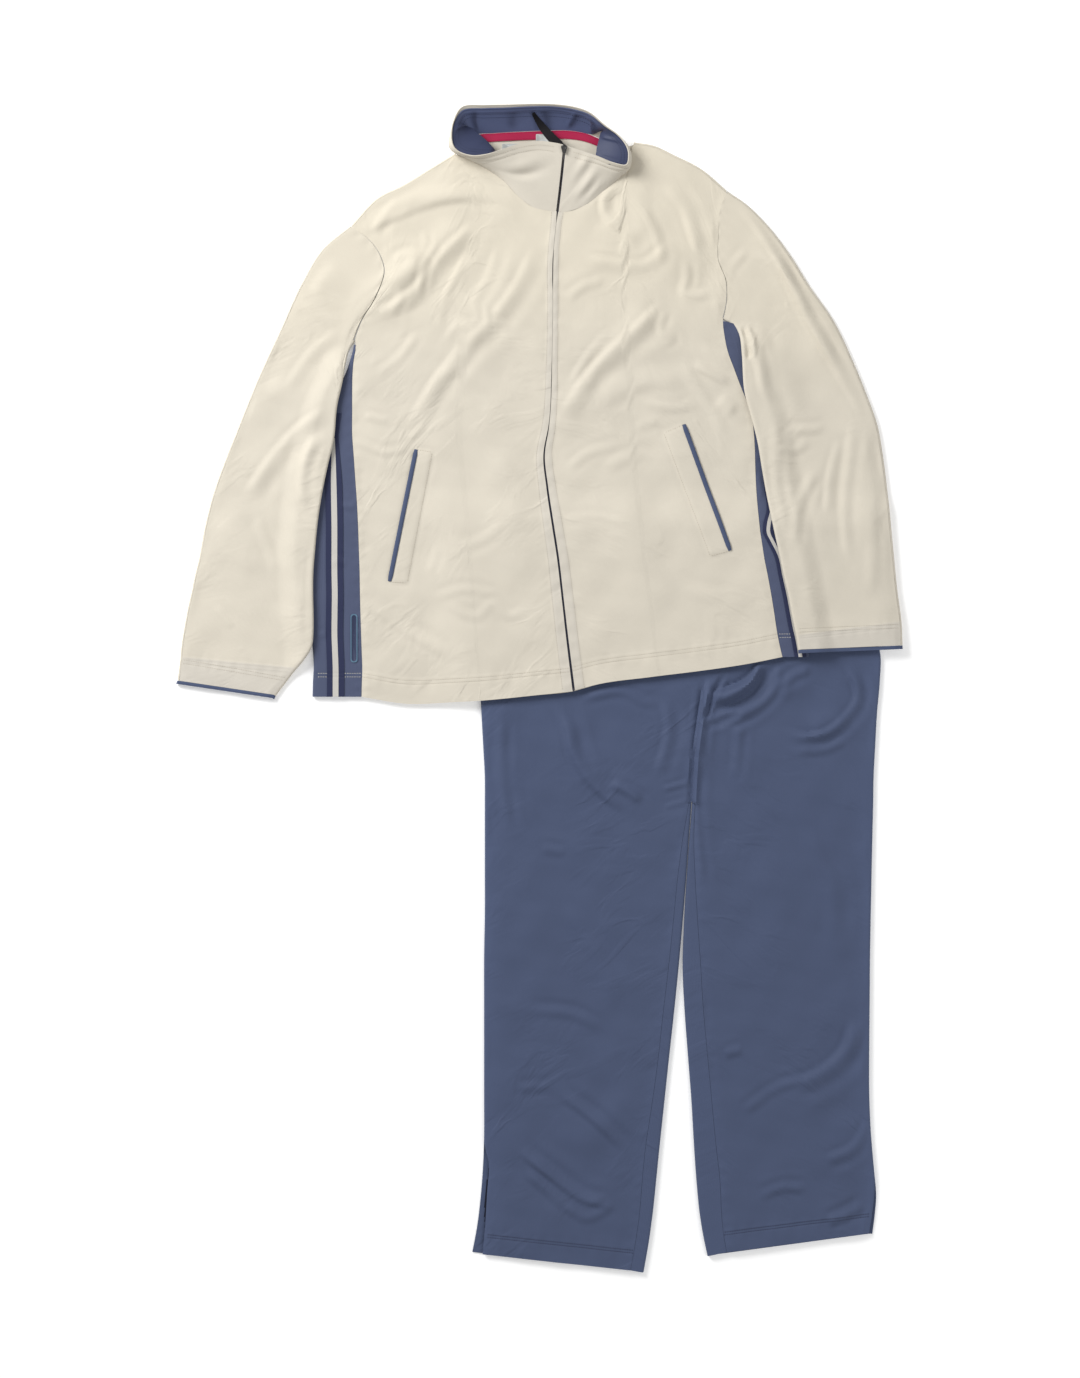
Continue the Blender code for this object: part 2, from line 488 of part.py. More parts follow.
class Front:
    """One front of the jacket, between shoulder, neck, zip, hem and side."""

    def __init__(self, sign, shoulder, collar_rows, armhole, hem, side):
        self.sign = sign
        shoulder_line = along(shoulder, np.linspace(0, 1, SHOULDER_STEPS + 1))
        self.outward = sideways(shoulder_line) * (-sign)
        self.outward[0] = (0.0, 1.0)
        shoulder_inset = shoulder_line - FOLD_RADIUS * self.outward
        shoulder_inset[0, 0] -= sign * CORNER_GAP
        neck_line = np.array([(COLLAR[row].seam_x, COLLAR[row].seam_y) for row in collar_rows])
        neck_line += NECK_GAP * sideways(neck_line) * sign
        neck_line[-1, 0] = ZIP_LINE[0].x + sign * ZIP_OPENING / 2
        top = np.vstack((shoulder_inset, neck_line))
        arm_line = along(armhole, ARMHOLE_SHARES)
        arm_line[:-1, 0] -= sign * SEAM
        seam_line = np.array([(row.seam - sign * SEAM / 2, row.y) for row in side])
        left = np.vstack((arm_line, seam_line))
        left[0] = top[0]
        bottom = along(hem, steps_with_edge(hem, len(top) - 1, ZIP_TAPE_WIDTH))
        left[-1] = bottom[0]
        lengths = np.concatenate(([0.0], np.cumsum(np.hypot(*np.diff(left, axis=0).T))))
        down = lengths / lengths[-1]
        right = along(ZIP_LINE, down)
        right[:, 0] += sign * ZIP_OPENING / 2
        right[0] = top[-1]
        right[-1] = bottom[-1]
        widths = np.concatenate(([0.0], np.cumsum(np.hypot(*np.diff(bottom, axis=0).T))))
        across = widths / widths[-1]
        plan = patch(top, bottom, left, right, across, down)
        heights = body_top(plan[..., 0], plan[..., 1])
        self.outer, self.inner = spread(plan, heights, CLOTH)
        self.arm_heights = heights[:len(ARMHOLE_SHARES), 0]
        self.shoulder = shoulder_inset

    def build(self, name, parent):
        """The front as a wall, curled down to the back along the shoulder."""
        count = SHOULDER_STEPS + 1
        centre_z = self.outer[0, :count, 2] - FOLD_RADIUS
        angles = np.linspace(3, 90, CURL_STEPS + 1)[:-1]
        columns = self.outer.shape[1]
        curled = []
        for radius in (FOLD_RADIUS, FOLD_RADIUS - CLOTH):
            rows = np.zeros((CURL_STEPS, columns, 3))
            rows[:, :count] = curl(self.shoulder, centre_z, self.outward, angles, radius)
            curled.append(rows)
        outer = np.concatenate((curled[0], self.outer))
        inner = np.concatenate((curled[1], self.inner))
        present = np.ones((outer.shape[0] - 1, columns - 1), bool)
        present[:CURL_STEPS, SHOULDER_STEPS:] = False
        return make_wall(name, outer, inner, CREAM, parent, present)


def build_back(parent):
    """The back, flat on the table, curled up to the fronts along the shoulders."""
    half = SHOULDER_STEPS // 2
    shares = np.linspace(0, 1, half + 1)
    right_line = along(SHOULDER_RIGHT, shares)
    left_line = along(SHOULDER_LEFT, shares)
    right_out = sideways(right_line)
    left_out = -sideways(left_line)
    right_out[0] = left_out[0] = (0.0, 1.0)
    right_inset = right_line - FOLD_RADIUS * right_out
    left_inset = left_line - FOLD_RADIUS * left_out
    right_inset[0, 0] += 2 * SEAM
    left_inset[0, 0] -= 2 * SEAM
    neck = along(BACK_NECK, np.linspace(0, 1, BACK_NECK_STEPS + 1))
    neck[:, 1] -= BACK_NECK_GAP
    top = np.vstack((right_inset, neck[1:-1], left_inset[::-1]))
    borders = []
    for armhole, side, sign in ((ARMHOLE_RIGHT, SIDE_RIGHT, -1), (ARMHOLE_LEFT, SIDE_LEFT, 1)):
        arm_line = along(armhole, ARMHOLE_SHARES[::2])
        arm_line[:, 0] -= sign * SEAM * 2
        seam_y = np.array([row.y for row in side[::2]], float)
        first = side[0].seam - sign * BACK_STEP
        last = side[-1].seam - sign * BACK_STEP
        seam_x = first + (last - first) * (seam_y[0] - seam_y) / (seam_y[0] - seam_y[-1])
        borders.append(np.vstack((arm_line, np.stack((seam_x, seam_y), axis=1))))
    left, right = borders
    left[0] = top[0]
    right[0] = top[-1]
    hem = [*HEM_RIGHT, *reversed(HEM_LEFT[:-1])]
    bottom = along(hem, np.linspace(0, 1, len(top)))
    bottom[0] = left[-1]
    bottom[-1] = right[-1]
    lengths = np.concatenate(([0.0], np.cumsum(np.hypot(*np.diff(left, axis=0).T))))
    down = lengths / lengths[-1]
    plan = patch(top, bottom, left, right, np.linspace(0, 1, len(top)), down)
    heights = trouser_lift(plan[..., 0], plan[..., 1])
    outer, inner = spread(plan, heights, -CLOTH)
    count = half + 1
    columns = len(top)
    angles = np.linspace(-3, -90, CURL_STEPS + 1)[:-1]
    curled = []
    for radius in (FOLD_RADIUS, FOLD_RADIUS - CLOTH):
        rows = np.zeros((CURL_STEPS, columns, 3))
        level = np.full(count, FOLD_RADIUS)
        rows[:, :count] = curl(right_inset, level, right_out, angles, radius)
        rows[:, -count:] = curl(left_inset, level, left_out, angles, radius)[:, ::-1]
        curled.append(rows)
    outer = np.concatenate((curled[0], outer))
    inner = np.concatenate((curled[1], inner))
    present = np.ones((outer.shape[0] - 1, columns - 1), bool)
    present[:CURL_STEPS, half:columns - 1 - half] = False
    return make_wall("jacket_back", outer, inner, CREAM, parent, present)


def build_side(name, tape_name, rows, sign, parent):
    """A side panel round the body's side fold, and the stripe tape on its front."""
    y = np.array([row.y for row in rows], float)
    seam = np.array([row.seam for row in rows], float) + sign * SEAM / 2
    centre = np.array([row.fold for row in rows], float) - sign * FOLD_RADIUS
    flat_width = sign * (centre - seam)
    tape_in = seam + sign * np.minimum([row.tape_in for row in rows], 0.4 * flat_width)
    tape_out = seam + sign * np.minimum([row.tape_out for row in rows], 0.98 * flat_width)
    back_seam = rows[0].seam + (rows[-1].seam - rows[0].seam) * (y[0] - y) / (y[0] - y[-1])
    narrow = sign * (centre - back_seam) < PANEL_BACK_STEP
    back_seam = np.where(narrow, centre - sign * PANEL_BACK_STEP, back_seam)
    base = trouser_lift(centre, y)

    def layer(x, level):
        height = trouser_lift(x, y) + level
        return np.stack((x, y, height), axis=1)

    outer = [layer(x, LAID_HEIGHT) for x in (seam, tape_in, tape_out, centre)]
    inner = [layer(x, LAID_HEIGHT - CLOTH) for x in (seam, tape_in, tape_out, centre)]
    out = np.tile((float(sign), 0.0), (len(rows), 1))
    centres = np.stack((centre, y), axis=1)
    angles = np.linspace(90, -90, FOLD_STEPS + 1)[1:-1]
    outer.extend(curl(centres, base + FOLD_RADIUS, out, angles, FOLD_RADIUS))
    inner.extend(curl(centres, base + FOLD_RADIUS, out, angles, FOLD_RADIUS - CLOTH))
    outer.extend((layer(centre, 0.0), layer(back_seam, 0.0)))
    inner.extend((layer(centre, CLOTH), layer(back_seam, CLOTH)))
    outer = np.stack(outer, axis=1)
    inner = np.stack(inner, axis=1)
    make_wall(name, outer, inner, PANEL_BLUE, parent)
    tape = outer[STRIPE_START:, 1:3]
    low = tape + (0, 0, SEAM)
    high = low + (0, 0, TAPE_WALL)
    make_wall(tape_name, high, low, NAVY, parent)


def sleeve_rings(sections, armhole, side, sign, arm_heights):
    """Outer and inner rings of a sleeve, one for each section."""
    table = np.array(sections, float)
    outer_edge = table[:, :2]
    inner_edge = table[:, 2:]
    outer_out = sideways(outer_edge) * sign
    inner_out = -sideways(inner_edge) * sign
    start = outer_edge - FOLD_RADIUS * outer_out
    end = inner_edge - FOLD_RADIUS * inner_out
    start[0] = along(armhole, [0.0])[0]
    shares = np.array(ARMHOLE_SHARES)
    arm_line = along(armhole, shares)
    straight = arm_line[0] + (arm_line[-1] - arm_line[0]) * shares[:, None]
    bulge = arm_line - straight
    fade = ease(1 - np.arange(len(sections)) / BULGE_FADE)
    group = "sleeve_right" if sign < 0 else "sleeve_left"
    rings = []
    for side_of_wall, radius in (("outer", FOLD_RADIUS), ("inner", FOLD_RADIUS - CLOTH)):
        wall = 0.0 if side_of_wall == "outer" else CLOTH
        ring = []
        for row, (first, last) in enumerate(zip(start, end)):
            plan = first + (last - first) * shares[:, None] + fade[row] * bulge
            x, y = plan.T
            base = sleeve_base(side, sign, x, y)
            length = np.hypot(*(last - first))
            edges = ease(shares * length / SLEEVE_EDGE) * ease((1 - shares) * length / SLEEVE_EDGE)
            own = base + LAID_HEIGHT + edges * folds(group, x, y)
            blend = ease(row / 2)
            top = own * blend + arm_heights * (1 - blend)
            upper = np.stack((x, y, top - wall), axis=1)
            lower = np.stack((x, y, base + wall), axis=1)[::2]
            angles = np.linspace(90, -90, FOLD_STEPS + 1)[1:-1]
            level = (upper[[-1, 0], 2] + lower[[-1, 0], 2]) / 2
            inner_fold = curl(last[None], level[:1], inner_out[row][None], angles, radius)[:, 0]
            outer_fold = curl(first[None], level[1:], outer_out[row][None], -angles, radius)[:, 0]
            ring.append(np.concatenate((upper, inner_fold, lower[::-1], outer_fold)))
        rings.append(np.array(ring))
    return rings


def build_sleeve(name, binding_name, sections, armhole, side, sign, arm_heights, parent):
    """A sleeve as a flattened tube, and the blue edge that follows its cuff."""
    outer, inner = sleeve_rings(sections, armhole, side, sign, arm_heights)
    make_wall(name, outer, inner, CREAM, parent, closed=True)
    last = np.array(sections[-1], float)
    before = np.array(sections[-2], float)
    run = (last - before)[:2] + (last - before)[2:]
    run = np.append(run / np.hypot(*run), 0.0)
    steps = (SEAM * run, (SEAM + BINDING_WIDTH) * run)
    binding_outer = np.array([outer[-1] + step for step in steps])
    binding_inner = np.array([inner[-1] + step for step in steps])
    make_wall(binding_name, binding_outer, binding_inner, BLUE, parent, closed=True)


def collar_grids():
    """Plan and height of the collar's outer face, its normals, and rows from seam to edge."""
    table = np.array(COLLAR, float)
    seam = table[:, :3]
    top = table[:, 3:6]
    roll = table[:, 6]
    middle = np.array((*NECK_MIDDLE, 0.0))
    out = seam - middle
    out[:, 2] = 0.0
    out /= np.linalg.norm(out, axis=1)[:, None]
    rows = []
    for share in np.linspace(0, 1, COLLAR_STEPS + 1):
        bulge = 4 * share * (1 - share) * roll
        rows.append(seam + (top - seam) * share + out * bulge[:, None])
    grid = np.array(rows)
    run = np.gradient(grid, axis=1)
    rise = np.gradient(grid, axis=0)
    normals = np.cross(rise, run)
    normals /= np.linalg.norm(normals, axis=2)[..., None]
    if normals[0, 3, 2] < 0:
        normals = -normals
    return grid, normals


def build_collar(parent):
    """The standing collar: cream outside, and a blue lining that stops short of the zip."""
    grid, normals = collar_grids()
    make_wall("collar_outer", grid, grid - CLOTH * normals, CREAM, parent)
    face = (grid - (CLOTH + 2 * SEAM) * normals)[:, 1:-1]
    inward = normals[:, 1:-1]
    face[-1] = face[-2] + (face[-1] - face[-2]) * LINING_SHARE
    make_wall("collar_lining", face, face - CLOTH * inward, PANEL_BLUE, parent)
    return grid, normals


def build_zip(name, front, grid, normals, first, parent):
    """A zip tape under a front's edge and on up behind the collar's edge."""
    columns = [-1, -2]
    lower_part = front.inner[::-1][:, columns] - (0, 0, SEAM)
    collar_columns = [0, 1] if first else [-1, -2]
    upper_part = (grid - (CLOTH + SEAM) * normals)[1:, collar_columns]
    upper_normals = normals[1:, collar_columns]
    face = np.concatenate((lower_part, upper_part))
    middle_shift = front.sign * (ZIP_OPENING / 2 - 1.5 * SEAM)
    face[:, 0, 0] -= middle_shift
    face[:, 1, 0] -= front.sign * TAPE_INSET
    down = np.concatenate((np.tile((0.0, 0.0, 1.0), lower_part.shape[:2] + (1,)), upper_normals))
    make_wall(name, face, face - TAPE_WALL * down, NAVY, parent)


def surface_of(piece):
    """A finder of a piece's upper surface."""
    mesh = piece.data
    points = [vertex.co.copy() for vertex in mesh.vertices]
    return BVHTree.FromPolygons(points, [tuple(face.vertices) for face in mesh.polygons])


def height_on(finder, x, y, reach=4.0):
    """Highest point of a surface within a short reach of a plan point."""
    heights = []
    for shift_x in (-reach, 0, reach):
        for shift_y in (-reach, 0, reach):
            above = Vector(((x + shift_x) * MM, (y + shift_y) * MM, RAY_HEIGHT))
            hit = finder.ray_cast(above, Vector((0, 0, -1)))[0]
            if hit is not None:
                heights.append(hit.z / MM)
    return max(heights)


def build_welt(name, front_piece, ends, parent):
    """A pocket's piping, laid along the surface of the front."""
    finder = surface_of(front_piece)
    start, end = (np.array(spot, float) for spot in ends)
    run = (end - start) / np.hypot(*(end - start))
    side = np.array((-run[1], run[0])) * WELT_WIDTH / 2
    rows = []
    for share in np.linspace(0, 1, WELT_STEPS + 1):
        middle = start + (end - start) * share
        spots = (middle - side, middle + side)
        rows.append([(spot[0], spot[1], height_on(finder, *spot) + SEAM) for spot in spots])
    low = np.array(rows)
    make_wall(name, low + (0, 0, TAPE_WALL), low, BLUE, parent)


def build_patch(name, place, level, corner, paint, parent):
    """A flat rounded label or patch that lies at one height."""
    centre, width, length = place
    shape = bmesh.new()
    points = []
    for quarter, (side_x, side_y) in enumerate(((1, 1), (-1, 1), (-1, -1), (1, -1))):
        middle_x = centre.x + side_x * (width / 2 - corner)
        middle_y = centre.y + side_y * (length / 2 - corner)
        for step in range(CORNER_STEPS + 1):
            angle = math.radians(90 * (quarter + step / CORNER_STEPS))
            points.append((middle_x + corner * math.cos(angle), middle_y + corner * math.sin(angle)))
    ring = [shape.verts.new((x * MM, y * MM, level * MM)) for x, y in points]
    face = shape.faces.new(ring)
    lifted = bmesh.ops.extrude_face_region(shape, geom=[face])["geom"]
    moved = [item for item in lifted if isinstance(item, bmesh.types.BMVert)]
    bmesh.ops.translate(shape, verts=moved, vec=(0, 0, TAPE_WALL * MM))
    mesh = bpy.data.meshes.new(name)
    shape.to_mesh(mesh)
    shape.free()
    make_object(name, mesh, paint, parent)


def build_neck_tape(parent):
    """The pink tape on the inside of the back, just under the collar seam."""
    line = along(BACK_NECK, np.linspace(*NECK_TAPE_SHARES, BACK_NECK_STEPS))
    upper = line - (0, NECK_TAPE_DROP)
    lower = line - (0, NECK_TAPE_DROP + NECK_TAPE_WIDTH)
    level = CLOTH + SEAM
    low = np.stack([np.column_stack((edge, np.full(len(edge), level))) for edge in (upper, lower)], axis=1)
    make_wall("neck_tape", low + (0, 0, TAPE_WALL), low, PINK, parent)


def build_strap(parent):
    """The black cloth strap of the zip puller, thrown back into the neck."""
    table = np.array(STRAP, float)
    knots = np.arange(len(STRAP))
    places = np.linspace(0, knots[-1], 2 * len(STRAP) - 1)
    middle = through(knots, table[:, :3], places)
    half = np.interp(places, knots, table[:, 3]) / 2
    side = sideways(middle[:, :2])
    left = middle.copy()
    right = middle.copy()
    left[:, :2] += side * half[:, None]
    right[:, :2] -= side * half[:, None]
    low = np.stack((left, right), axis=1)
    make_wall("puller_strap", low + (0, 0, TAPE_WALL), low, BLACK, parent)


def build_slider(parent):
    """The zip slider: a tapered plate with a raised crown, at the top of the closed zip."""
    outline = [(row.half_width, row.along) for row in SLIDER_HALF]
    outline += [(-x, y) for x, y in reversed(outline)]
    centre = Vector(SLIDER_MIDDLE)
    edge = COLLAR[0]
    lean = math.atan2(edge.top_z - edge.seam_z, edge.top_y - edge.seam_y)
    shape = bmesh.new()
    face = shape.faces.new([shape.verts.new((x, y, 0)) for x, y in outline])
    lifted = bmesh.ops.extrude_face_region(shape, geom=[face])["geom"]
    moved = [item for item in lifted if isinstance(item, bmesh.types.BMVert)]
    bmesh.ops.translate(shape, verts=moved, vec=(0, 0, SLIDER_PLATE))
    top = max(shape.faces, key=lambda item: item.calc_center_median().z)
    bmesh.ops.inset_individual(shape, faces=[top], thickness=SLIDER_CROWN_INSET)
    lifted = bmesh.ops.extrude_discrete_faces(shape, faces=[top])["faces"]
    bmesh.ops.translate(shape, verts=lifted[0].verts[:], vec=(0, 0, SLIDER_CROWN))
    mesh = bpy.data.meshes.new("zip_slider")
    shape.to_mesh(mesh)
    shape.free()
    for vertex in mesh.vertices:
        x, y, z = vertex.co
        turned = Vector((x, y * math.cos(lean) - z * math.sin(lean),
                         y * math.sin(lean) + z * math.cos(lean)))
        vertex.co = (centre + turned) * MM
    make_object("zip_slider", mesh, METAL, parent)


def leg_layers(rows, sign):
    """Shared plan of a leg: edges, outward directions and whether the edge is folded."""
    table = np.array(rows, float)
    outer_edge = table[:, 0:2]
    inner_edge = table[:, 2:4]
    outer_out = sideways(outer_edge) * sign
    inner_out = -sideways(inner_edge) * sign
    inner_out[:CROTCH_ROW + 1] = (-sign, 0.0)
    outer_out[0] = (sign, 0.0)
    return table, outer_edge, inner_edge, outer_out, inner_out


def leg_fade(x, y):
    """Folds of the trousers die out under the jacket and towards the edges."""
    hem = sorted((spot.x, spot.y) for spot in HEM_RIGHT + HEM_LEFT)
    hem_y = np.interp(x, [spot[0] for spot in hem], [spot[1] for spot in hem])
    return ease((hem_y - HEM_CLEARANCE[0] - y) / HEM_CLEARANCE[1])


def build_leg(front_name, back_name, rows, sign, parent):
    """A leg's front and back. The back comes round the inner fold to the seam on the front."""
    table, outer_edge, inner_edge, outer_out, inner_out = leg_layers(rows, sign)
    count = len(rows)
    inseam = table[:, 4]
    slit = table[:, 5]
    open_edge = np.where(slit > 0, 1.0, 0.0)
    below = np.arange(count) >= CROTCH_ROW
    start = outer_edge - FOLD_RADIUS * outer_out
    inner_centre = inner_edge - FOLD_RADIUS * inner_out
    seam_inset = np.where(below, FOLD_RADIUS + inseam, SEAM / 2)
    inner_end = inner_edge - seam_inset[:, None] * inner_out
    start_front = start - (slit * SLIT_SHARE)[:, None] * outer_out
    shares = np.linspace(0, 1, FRONT_STEPS + 1)[None, :, None]
    front_end = inner_end - below[:, None] * SEAM / 2 * inner_out
    plan = start_front[:, None] * (1 - shares) + front_end[:, None] * shares
    x, y = plan[..., 0], plan[..., 1]
    length = np.hypot(*(inner_end - start_front).T)[:, None]
    edges = ease(shares[..., 0] * length / LEG_MARGIN)
    edges = edges * np.where(below[:, None], ease((1 - shares[..., 0]) * length / LEG_MARGIN), 1.0)
    sag = open_edge[:, None] * SLIT_SAG * (1 - ease(shares[..., 0] * length / SLIT_REACH))
    heights = LAID_HEIGHT - sag + edges * leg_fade(x, y) * folds("trousers", x, y)
    heights[:CROTCH_ROW, -1] = LAID_HEIGHT + leg_fade(x, y)[:CROTCH_ROW, -1] * folds(
        "trousers", np.full(CROTCH_ROW, CENTRE_SEAM), y[:CROTCH_ROW, -1])
    outer, inner = spread(plan, heights, CLOTH)
    angles = np.linspace(3, 90, CURL_STEPS + 1)[:-1]
    closed_level = np.full(count, FOLD_RADIUS)
    curled_outer = curl(start, closed_level, outer_out, angles, FOLD_RADIUS)
    curled_inner = curl(start, closed_level, outer_out, angles, FOLD_RADIUS - CLOTH)
    for step in range(CURL_STEPS):
        reach = (CURL_STEPS - step) * FLAP_STEP
        flat = outer[:, 0].copy()
        flat[:, :2] += outer_out * reach
        flat[:, 2] -= FLAP_DROP * (CURL_STEPS - step)
        mix = open_edge[:, None]
        curled_outer[step] = curled_outer[step] * (1 - mix) + flat * mix
        curled_inner[step] = curled_inner[step] * (1 - mix) + (flat - (0, 0, CLOTH)) * mix
    front_outer = np.concatenate((curled_outer.transpose(1, 0, 2), outer), axis=1)
    front_inner = np.concatenate((curled_inner.transpose(1, 0, 2), inner), axis=1)
    make_wall(front_name, front_outer, front_inner, BLUE, parent)

    back_steps = np.linspace(0, 1, FRONT_STEPS // 2 + 2)[None, :, None]
    bottom_end = np.where(below[:, None], inner_centre, inner_edge - SEAM / 2 * inner_out)
    bottom = start[:, None] * (1 - back_steps) + bottom_end[:, None] * back_steps
    level = np.zeros(bottom.shape[:2])
    base_outer, base_inner = spread(bottom, level, -CLOTH)
    down_angles = np.linspace(-3, -90, CURL_STEPS + 1)[:-1]
    lower_outer = curl(start, closed_level, outer_out, down_angles, FOLD_RADIUS)
    lower_inner = curl(start, closed_level, outer_out, down_angles, FOLD_RADIUS - CLOTH)
    for step in range(CURL_STEPS):
        reach = (CURL_STEPS - step) * FOLD_RADIUS / CURL_STEPS
        flat = base_outer[:, 0].copy()
        flat[:, :2] += outer_out * reach
        mix = open_edge[:, None]
        lower_outer[step] = lower_outer[step] * (1 - mix) + flat * mix
        lower_inner[step] = lower_inner[step] * (1 - mix) + (flat + (0, 0, CLOTH)) * mix
    fold_angles = np.linspace(-90, 90, FOLD_STEPS + 1)[1:]
    fold_outer = curl(inner_centre, closed_level, inner_out, fold_angles, FOLD_RADIUS)
    fold_inner = curl(inner_centre, closed_level, inner_out, fold_angles, FOLD_RADIUS - CLOTH)
    strip_plan = inner_end + SEAM / 2 * inner_out
    strip_outer = np.column_stack((strip_plan, np.full(count, LAID_HEIGHT)))
    strip_inner = strip_outer - (0, 0, CLOTH)
    back_outer = np.concatenate((lower_outer.transpose(1, 0, 2), base_outer,
                                 fold_outer.transpose(1, 0, 2), strip_outer[:, None]), axis=1)
    back_inner = np.concatenate((lower_inner.transpose(1, 0, 2), base_inner,
                                 fold_inner.transpose(1, 0, 2), strip_inner[:, None]), axis=1)
    present = np.ones((count - 1, back_outer.shape[1] - 1), bool)
    wrap_start = CURL_STEPS + base_outer.shape[1] - 1
    present[:CROTCH_ROW, wrap_start:] = False
    make_wall(back_name, back_outer, back_inner, BLUE, parent, present)


def build_waistband(parent):
    """The elastic band at the top of the trousers, hidden under the jacket."""
    ends = [(LEG_RIGHT[0].outer_x, LEG_LEFT[0].outer_x, WAIST + SEAM),
            (LEG_RIGHT[0].outer_x - 1, LEG_LEFT[0].outer_x - 6, WAIST_TOP)]
    shares = np.linspace(0, 1, FRONT_STEPS + 1)
    rings = []
    for wall in (0.0, WAISTBAND_WALL):
        ring = []
        for right_x, left_x, y in ends:
            first = np.array((right_x + FOLD_RADIUS, y))
            last = np.array((left_x - FOLD_RADIUS, y))
            x = first[0] + (last[0] - first[0]) * shares
            upper = np.column_stack((x, np.full(len(x), y), np.full(len(x), LAID_HEIGHT - wall)))
            lower = np.column_stack((x, np.full(len(x), y), np.full(len(x), wall)))[::2]
            angles = np.linspace(90, -90, FOLD_STEPS + 1)[1:-1]
            level = np.array((FOLD_RADIUS,))
            out = np.array(((1.0, 0.0),))
            near = curl(last[None], level, out, angles, FOLD_RADIUS - wall)[:, 0]
            far = curl(first[None], level, -out, -angles, FOLD_RADIUS - wall)[:, 0]
            ring.append(np.concatenate((upper, near, lower[::-1], far)))
        rings.append(np.array(ring))
    make_wall("waistband", rings[0], rings[1], BLUE, parent, closed=True)


def build_jacket():
    """Every piece of the jacket."""
    jacket = bpy.data.objects.new("jacket", None)
    bpy.context.scene.collection.objects.link(jacket)
    right = Front(-1, SHOULDER_RIGHT, COLLAR_ON_RIGHT, ARMHOLE_RIGHT, HEM_RIGHT, SIDE_RIGHT)
    left = Front(1, SHOULDER_LEFT, COLLAR_ON_LEFT, ARMHOLE_LEFT, HEM_LEFT, SIDE_LEFT)
    right_piece = right.build("jacket_front_right", jacket)
    left_piece = left.build("jacket_front_left", jacket)
    build_back(jacket)
    build_side("side_panel_right", "side_tape_right", SIDE_RIGHT, -1, jacket)
    build_side("side_panel_left", "side_tape_left", SIDE_LEFT, 1, jacket)
    build_sleeve("sleeve_right", "cuff_binding_right", SLEEVE_RIGHT, ARMHOLE_RIGHT, SIDE_RIGHT, -1,
                 right.arm_heights, jacket)
    build_sleeve("sleeve_left", "cuff_binding_left", SLEEVE_LEFT, ARMHOLE_LEFT, SIDE_LEFT, 1,
                 left.arm_heights, jacket)
    grid, normals = build_collar(jacket)
    build_zip("zip_tape_right", right, grid, normals, True, jacket)
    build_zip("zip_tape_left", left, grid, normals, False, jacket)
    build_welt("pocket_welt_right", right_piece, WELT_RIGHT, jacket)
    build_welt("pocket_welt_left", left_piece, WELT_LEFT, jacket)
    build_patch("side_badge_right", SIDE_BADGE, LAID_HEIGHT + SEAM, 3.5, NAVY, jacket)
    build_neck_tape(jacket)
    build_patch("neck_label", NECK_LABEL, CLOTH + SEAM, 1.0, LABEL_GREY, jacket)
    build_patch("size_label", SIZE_LABEL, CLOTH + 2 * SEAM + TAPE_WALL, 1.0, LABEL_GREY, jacket)
    build_strap(jacket)
    build_slider(jacket)
    return jacket


def build_trousers():
    """Every piece of the trousers."""
    trousers = bpy.data.objects.new("trousers", None)
    bpy.context.scene.collection.objects.link(trousers)
    build_leg("trouser_front_right", "trouser_back_right", LEG_RIGHT, -1, trousers)
    build_leg("trouser_front_left", "trouser_back_left", LEG_LEFT, 1, trousers)
    build_waistband(trousers)
    return trousers


def main():
    clear_scene()
    for group in (build_jacket(), build_trousers()):
        group.location = (-LAYOUT_CENTRE[0] * MM, -LAYOUT_CENTRE[1] * MM, 0)


main()
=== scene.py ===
# The looks of the knit tracksuit. Sizes are in millimetres, as in the part's source.

import math
from collections import namedtuple

import bmesh
import bpy
import numpy as np
from mathutils import Matrix, Vector
from mathutils.bvhtree import BVHTree


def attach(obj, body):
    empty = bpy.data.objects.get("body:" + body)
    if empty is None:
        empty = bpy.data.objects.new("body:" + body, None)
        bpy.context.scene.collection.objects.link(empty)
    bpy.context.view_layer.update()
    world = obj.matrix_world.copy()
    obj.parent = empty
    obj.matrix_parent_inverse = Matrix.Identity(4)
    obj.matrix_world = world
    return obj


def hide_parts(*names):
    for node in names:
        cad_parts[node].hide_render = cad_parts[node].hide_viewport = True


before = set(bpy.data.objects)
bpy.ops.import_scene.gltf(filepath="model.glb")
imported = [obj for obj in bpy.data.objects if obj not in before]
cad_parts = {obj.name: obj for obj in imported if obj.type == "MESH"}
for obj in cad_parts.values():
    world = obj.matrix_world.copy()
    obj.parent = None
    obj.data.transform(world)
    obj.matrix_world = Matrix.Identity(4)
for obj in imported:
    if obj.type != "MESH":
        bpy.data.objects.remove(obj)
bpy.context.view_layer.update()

# Driving sizes
MM = 0.001
CLOTH = 1.2  # wall of the knit
SEAM = 0.3  # gap between pieces that are sewn or laid together
LAID_HEIGHT = 6.0  # height of a sleeve, a leg or the body, laid flat
FOLD_RADIUS = LAID_HEIGHT / 2
TAPE_WALL = 1.0  # stripe tape, labels, piping and zip tape
ON_TROUSERS = LAID_HEIGHT + 0.5  # where the jacket lies on the trousers
ON_BODY = LAID_HEIGHT + 2.2  # rise of a sleeve over the body's side and its stripes
TROUSER_RAMP = (14.0, 70.0)  # the jacket falls from the trousers to the table between these
WAIST_DRAPE = 24.0  # the cloth stays up this far past the waistband before it falls
BODY_RAMP = (10.0, 38.0)  # and a sleeve from the body to the table between these
ARMPIT_RISE = 34.0  # length over which a sleeve climbs on to the body
ARMPIT_START = 8.0  # which begins this far above the side panel
ZIP_TAPE_WIDTH = 12.0
BINDING_WIDTH = 4.5  # blue edge of the cuffs
WELT_WIDTH = 5.8  # blue piping of the pockets
WAISTBAND_HEIGHT = 36.0
WAISTBAND_WALL = 1.8
